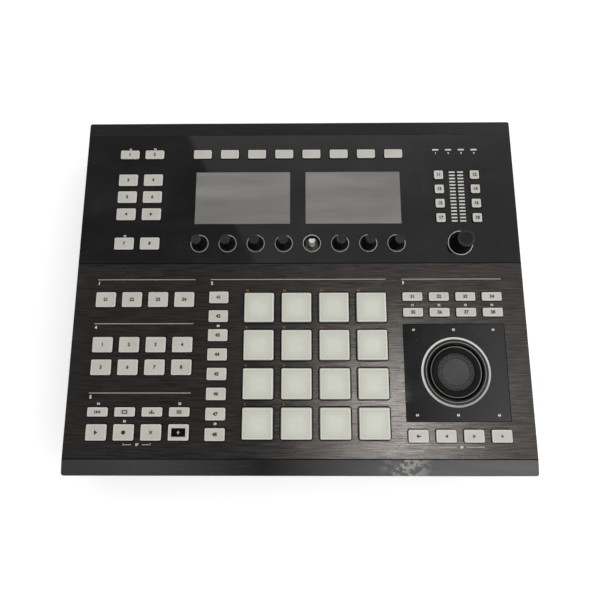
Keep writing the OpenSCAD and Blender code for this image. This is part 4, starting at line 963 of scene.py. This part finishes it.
def print_marks(name, body, finish, marks):
    """One print of signs, figures and flat outlines, each as (what, x, y, z, height) in metres."""
    bm = bmesh.new()
    for what, x, y, z, height in marks:
        if isinstance(what, str) and what not in SIGNS:
            mesh = figure_mesh(what, height)
            mesh.transform(Matrix.Translation((x, y, z)))
            bm.from_mesh(mesh)
            bpy.data.meshes.remove(mesh)
            continue
        for outline in SIGNS[what] if isinstance(what, str) else what:
            placed = [(x + u * height, y + v * height) for u, v in outline]
            prism(bm, placed, z - PRINT_T, z + PRINT_T)
    return new_piece(name, bm, finish, body)


def key_marks(node, labels, cap=3.1 * MM):
    """Marks in the middle of each key's top, in rows from the rear to the front."""
    marks = []
    for label, (low, high) in zip(labels, solids_of(node)):
        if label:
            height = cap * SIGN_SCALE if label in SIGNS else cap
            marks.append((label, (low.x + high.x) / 2, (low.y + high.y) / 2, high.z, height))
    return marks


def numbers(first, last):
    """Plain numbers as labels."""
    return [str(n) for n in range(first, last + 1)]


KEY_LABELS = {
    "menu_keys": numbers(1, 6) + ["left", "right"] + numbers(7, 8),
    "level_keys": numbers(11, 18),
    "performance_keys": numbers(21, 24),
    "group_keys": numbers(1, 8),
    "transport_keys": ["rewind", "loop", "bars", "grid", "play", "record", "cross", None],
    "mode_keys": numbers(41, 48),
    "edit_keys": numbers(31, 38),
    "nav_keys": ["back", "left", "right", "dot"],
}


def edge_bands(name, body, finish, bands, seams=()):
    """Thin bands as (box, outer inset, inner inset, corner radius, height), and flat seams."""
    bm = bmesh.new()
    for box, outer, inner, radius, z in bands:
        band(bm, rounded(box, outer, radius), rounded(box, inner, radius), z - PRINT_T, z + PRINT_T)
    for seam in seams:
        prism(bm, seam, TOP_Z - PRINT_T, TOP_Z + PRINT_T)
    return new_piece(name, bm, finish, body)


def add_key_edges():
    """A painted highlight along the rim of each key, and a black band of painted gap shadow round each
    opening.
    """
    highlight_from, highlight_to, gap = 0.55 * MM, 1.0 * MM, 0.4 * MM
    key_edge, pad_edge, seam_half = 0.9 * MM, 1.3 * MM, 0.45 * MM
    gap_shadow_bands = []
    for node in [*KEY_LABELS, "soft_keys"]:
        boxes = solids_of(node, TOP_Z)
        rim_highlights = [(box, highlight_from, highlight_to, KEY_CORNER, box[1].z) for box in boxes]
        edge_bands(f"{node}_rims", node, KEY_RIM_HIGHLIGHT, rim_highlights)
        # Painted shadow: black bands on the plate round keys, pads and the jog panel stand for the
        # shade in the gaps.
        gap_shadow_bands += [(box, -key_edge, -gap, KEY_CORNER, TOP_Z) for box in boxes]
    gap_shadow_bands += [(box, -pad_edge, -gap, PAD_CORNER, TOP_Z) for box in pad_tops]
    gap_shadow_bands.append((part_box("jog_panel"), -0.5 * MM, 0.1 * MM, 0.3 * MM, TOP_Z))
    low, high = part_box("control_plate")
    seams = [bar(low.x, y - seam_half, high.x, y + seam_half) for y in (low.y, high.y)]
    edge_bands("gap_shadows_and_seams", CASE, BLACK_INK_AND_GAP_SHADOW, gap_shadow_bands, seams)


def add_ring_edges():
    """The blackened outer edge of each dial ring."""
    width, half_height = 0.32, 0.03
    bm = bmesh.new()
    for low, high in solids_of("knob_rings"):
        under, top = high.z / MM - half_height, high.z / MM + half_height
        outer = (high.x - low.x) / 2 / MM
        inner = outer - width
        lathe(bm, [(inner, under), (outer, under), (outer, top), (inner, top)], (low + high) / 2, 64)
    new_piece("dial_ring_edges", bm, BLACK_INK_AND_GAP_SHADOW, CASE)


def add_prints():
    """Signs and numbers on keys and panels, and thin lines on the plate."""
    for node, labels in KEY_LABELS.items():
        print_marks(f"{node}_print", node, DARK_INK, key_marks(node, labels))

    low, high = solids_of("transport_keys", TOP_Z)[-1]
    x, y = (low.x + high.x) / 2, (low.y + high.y) / 2
    patch = [bar(-6.6, -3.9, 6.6, 3.9)]
    print_marks("shift_key_patch", "transport_keys", BLACK_INK_AND_GAP_SHADOW, [(patch, x, y, high.z, MM)])
    arrow = [("up", x, y, high.z + PRINT_T, 3.4 * MM)]
    print_marks("shift_key_sign", "transport_keys", LINE_INK, arrow)

    heading_cap, small_cap, pad_inset = 2.8 * MM, 1.9 * MM, 2.4 * MM
    pads = [(str(n), low.x + pad_inset, high.y + pad_inset, TOP_Z, small_cap)
            for n, (low, high) in enumerate(pad_tops, 1)]
    print_marks("pad_numbers", CASE, RED_INK, pads)

    line_half = 0.35
    plate_lines = [  # left end, place from front to rear, right end
        (-199.2, 8.0, -102.6), (-87.4, 8.0, 85.5), (101.0, 8.0, 198.8),
        (-199.2, -35.7, -102.6), (-199.2, -101.6, -102.6),
        (129.6, -150.5, 146.0), (155.0, -150.5, 171.8),
        (-164.0, -148.6, -156.0), (-146.0, -148.6, -138.0)]
    outlines = [bar(x0, y - line_half, x1, y + line_half) for x0, y, x1 in plate_lines]
    outlines += [bar(-164.0, -148.25, -163.4, -147.0), bar(-138.6, -148.25, -138.0, -147.0)]
    print_marks("plate_lines", CASE, LINE_INK, [(outlines, 0, 0, TOP_Z, MM)])

    headings = [(-197.5, 4.3), (-85.8, 4.3), (102.6, 4.3), (-197.5, -39.4), (-197.5, -105.3)]
    marks = [(str(i + 1), x * MM, y * MM, TOP_Z, heading_cap) for i, (x, y) in enumerate(headings)]
    small = {i + 1: (141.7 + 13.2 * i, 141.2) for i in range(4)}
    small |= {61 + i: (111.0 + 38.2 * i, -42.0) for i in range(3)}
    small |= {64 + i: (111.0 + 38.2 * i, -122.0) for i in range(3)}
    small |= {51: (-175.4, 146.8), 52: (-149.7, 146.8), 53: (-175.4, 52.8)}
    small |= {54: (-189.4, -111.6), 55: (-112.3, -111.6), 56: (-163.7, -127.6)}
    small |= {57: (-150.8, -148.6), 58: (-78.4, -38.0), 59: (-78.4, -130.0), 60: (150.5, -150.5)}
    small |= {71 + i: (110.9 + 25.7 * i, -18.0) for i in range(4)}
    marks += [(str(n), x * MM, y * MM, TOP_Z, small_cap) for n, (x, y) in small.items()]
    print_marks("panel_figures", CASE, WHITE_INK, marks)


# The studio

def studio_floor():
    """A pale floor that shows white to the camera and keeps the shadow."""
    f = Finish("pale studio floor")
    pale = f.between(f.ease(f.cloud(3, 3), 0.3, 0.7), (0.80, 0.80, 0.80, 1), (0.84, 0.84, 0.84, 1))
    path = f.add("ShaderNodeLightPath").outputs
    seen = f.maths("MAXIMUM", path["Is Camera Ray"],
                   f.maths("MAXIMUM", path["Is Glossy Ray"], path["Is Transmission Ray"]))
    glow = f.times(seen, f.ease(f.distance((0, 0, 0)), 0.5, 1.4, 0.34, 0.8))
    return f.surface({
        "Base Color": pale, "Roughness": 0.9, "Specular IOR Level": 0.0,
        "Emission Color": (1, 1, 1, 1), "Emission Strength": glow})


def add_floor():
    """A round floor just under the feet."""
    radius, drop = 4.0, 0.05 * MM
    bm = bmesh.new()
    bmesh.ops.create_circle(bm, cap_ends=True, radius=radius, segments=96)
    mesh = bpy.data.meshes.new("studio_floor")
    bm.to_mesh(mesh)
    bm.free()
    mesh.materials.append(studio_floor())
    mesh.transform(Matrix.Translation((0, 0, -drop)))
    add_object("studio_floor", mesh)


def add_world():
    """The room that the gloss shows: overhead, two tones that meet at a slanting edge."""
    world = bpy.data.worlds.new("studio")
    bpy.context.scene.world = world
    world.use_nodes = True
    sky = Tree(world.node_tree)
    way = sky.add("ShaderNodeTexCoord").outputs["Generated"]
    parts = sky.add("ShaderNodeSeparateXYZ", {0: way}).outputs
    x, y, z = parts["X"], parts["Y"], parts["Z"]

    edge_lean, edge_shift, edge_blur = 1.9, 0.02, 0.012
    left_tone, right_tone = 0.18, 0.46
    slant = sky.plus(sky.times(x, edge_lean), y)
    side = sky.maths("SUBTRACT", slant, sky.times(z, edge_shift))
    tones = sky.ease(side, -edge_blur, edge_blur, left_tone, right_tone)

    rear_glow = sky.ease(y, 0.42, 0.56, 1.0, 1.7)
    front_right = sky.times(sky.ease(y, 0.20, 0.12), sky.ease(x, 0.13, 0.21))
    lane = sky.times(sky.ease(x, 0.24, 0.44, 0.37, 1.43), sky.ease(y, 0.10, -0.12, 1.0, 1.6))
    front_glow = sky.plus(1.0, sky.times(front_right, sky.maths("SUBTRACT", lane, 1.0)))
    overhead = sky.times(tones, sky.times(rear_glow, front_glow))

    bright_side = (0.87, 0.49, 0.0)
    facing = sky.add("ShaderNodeVectorMath", {0: way, 1: bright_side}, operation="DOT_PRODUCT")
    surround = sky.ease(facing.outputs["Value"], 0.35, 0.85, 1.0, 2.9)
    low_share = sky.ease(z, 0.72, 0.50)
    around = sky.times(low_share, sky.maths("SUBTRACT", surround, overhead))

    back = world.node_tree.nodes["Background"]
    sky.put(back.inputs["Strength"], sky.plus(overhead, around))
    back.inputs["Color"].default_value = (1, 1, 1, 1)


def add_softbox(name, place, target, size, power):
    """An oblong lamp that is turned towards a target."""
    lamp = bpy.data.lights.new(name, "AREA")
    lamp.shape = "RECTANGLE"
    lamp.size, lamp.size_y = size
    lamp.energy = power
    light = add_object(name, lamp)
    light.location = place
    aim = Vector(target) - Vector(place)
    light.rotation_euler = aim.to_track_quat("-Z", "Y").to_euler()


def add_camera():
    """The camera that was fitted to the photograph."""
    view = bpy.data.cameras.new("camera")
    view.lens, view.sensor_width = 24.0, 36.0
    view.clip_start = 0.01
    camera = add_object("camera", view)
    camera.location = (0.0043, -0.0736, 0.4322)
    camera.rotation_euler = [math.radians(a) for a in (8.95, 0.47, -0.04)]
    bpy.context.scene.camera = camera


add_screws()
add_rubber_feet()
add_contacts()
add_foot_ribs()
add_jog_wheel()
add_jog_collar()
add_key_edges()
add_ring_edges()
add_prints()
add_floor()
add_world()
add_softbox("strip_softbox", (0.335, -0.27, 1.2), (0.335, -0.27, 0.0), (0.05, 0.36), 4.5)
add_camera()

bpy.context.scene.view_settings.view_transform = "Standard"
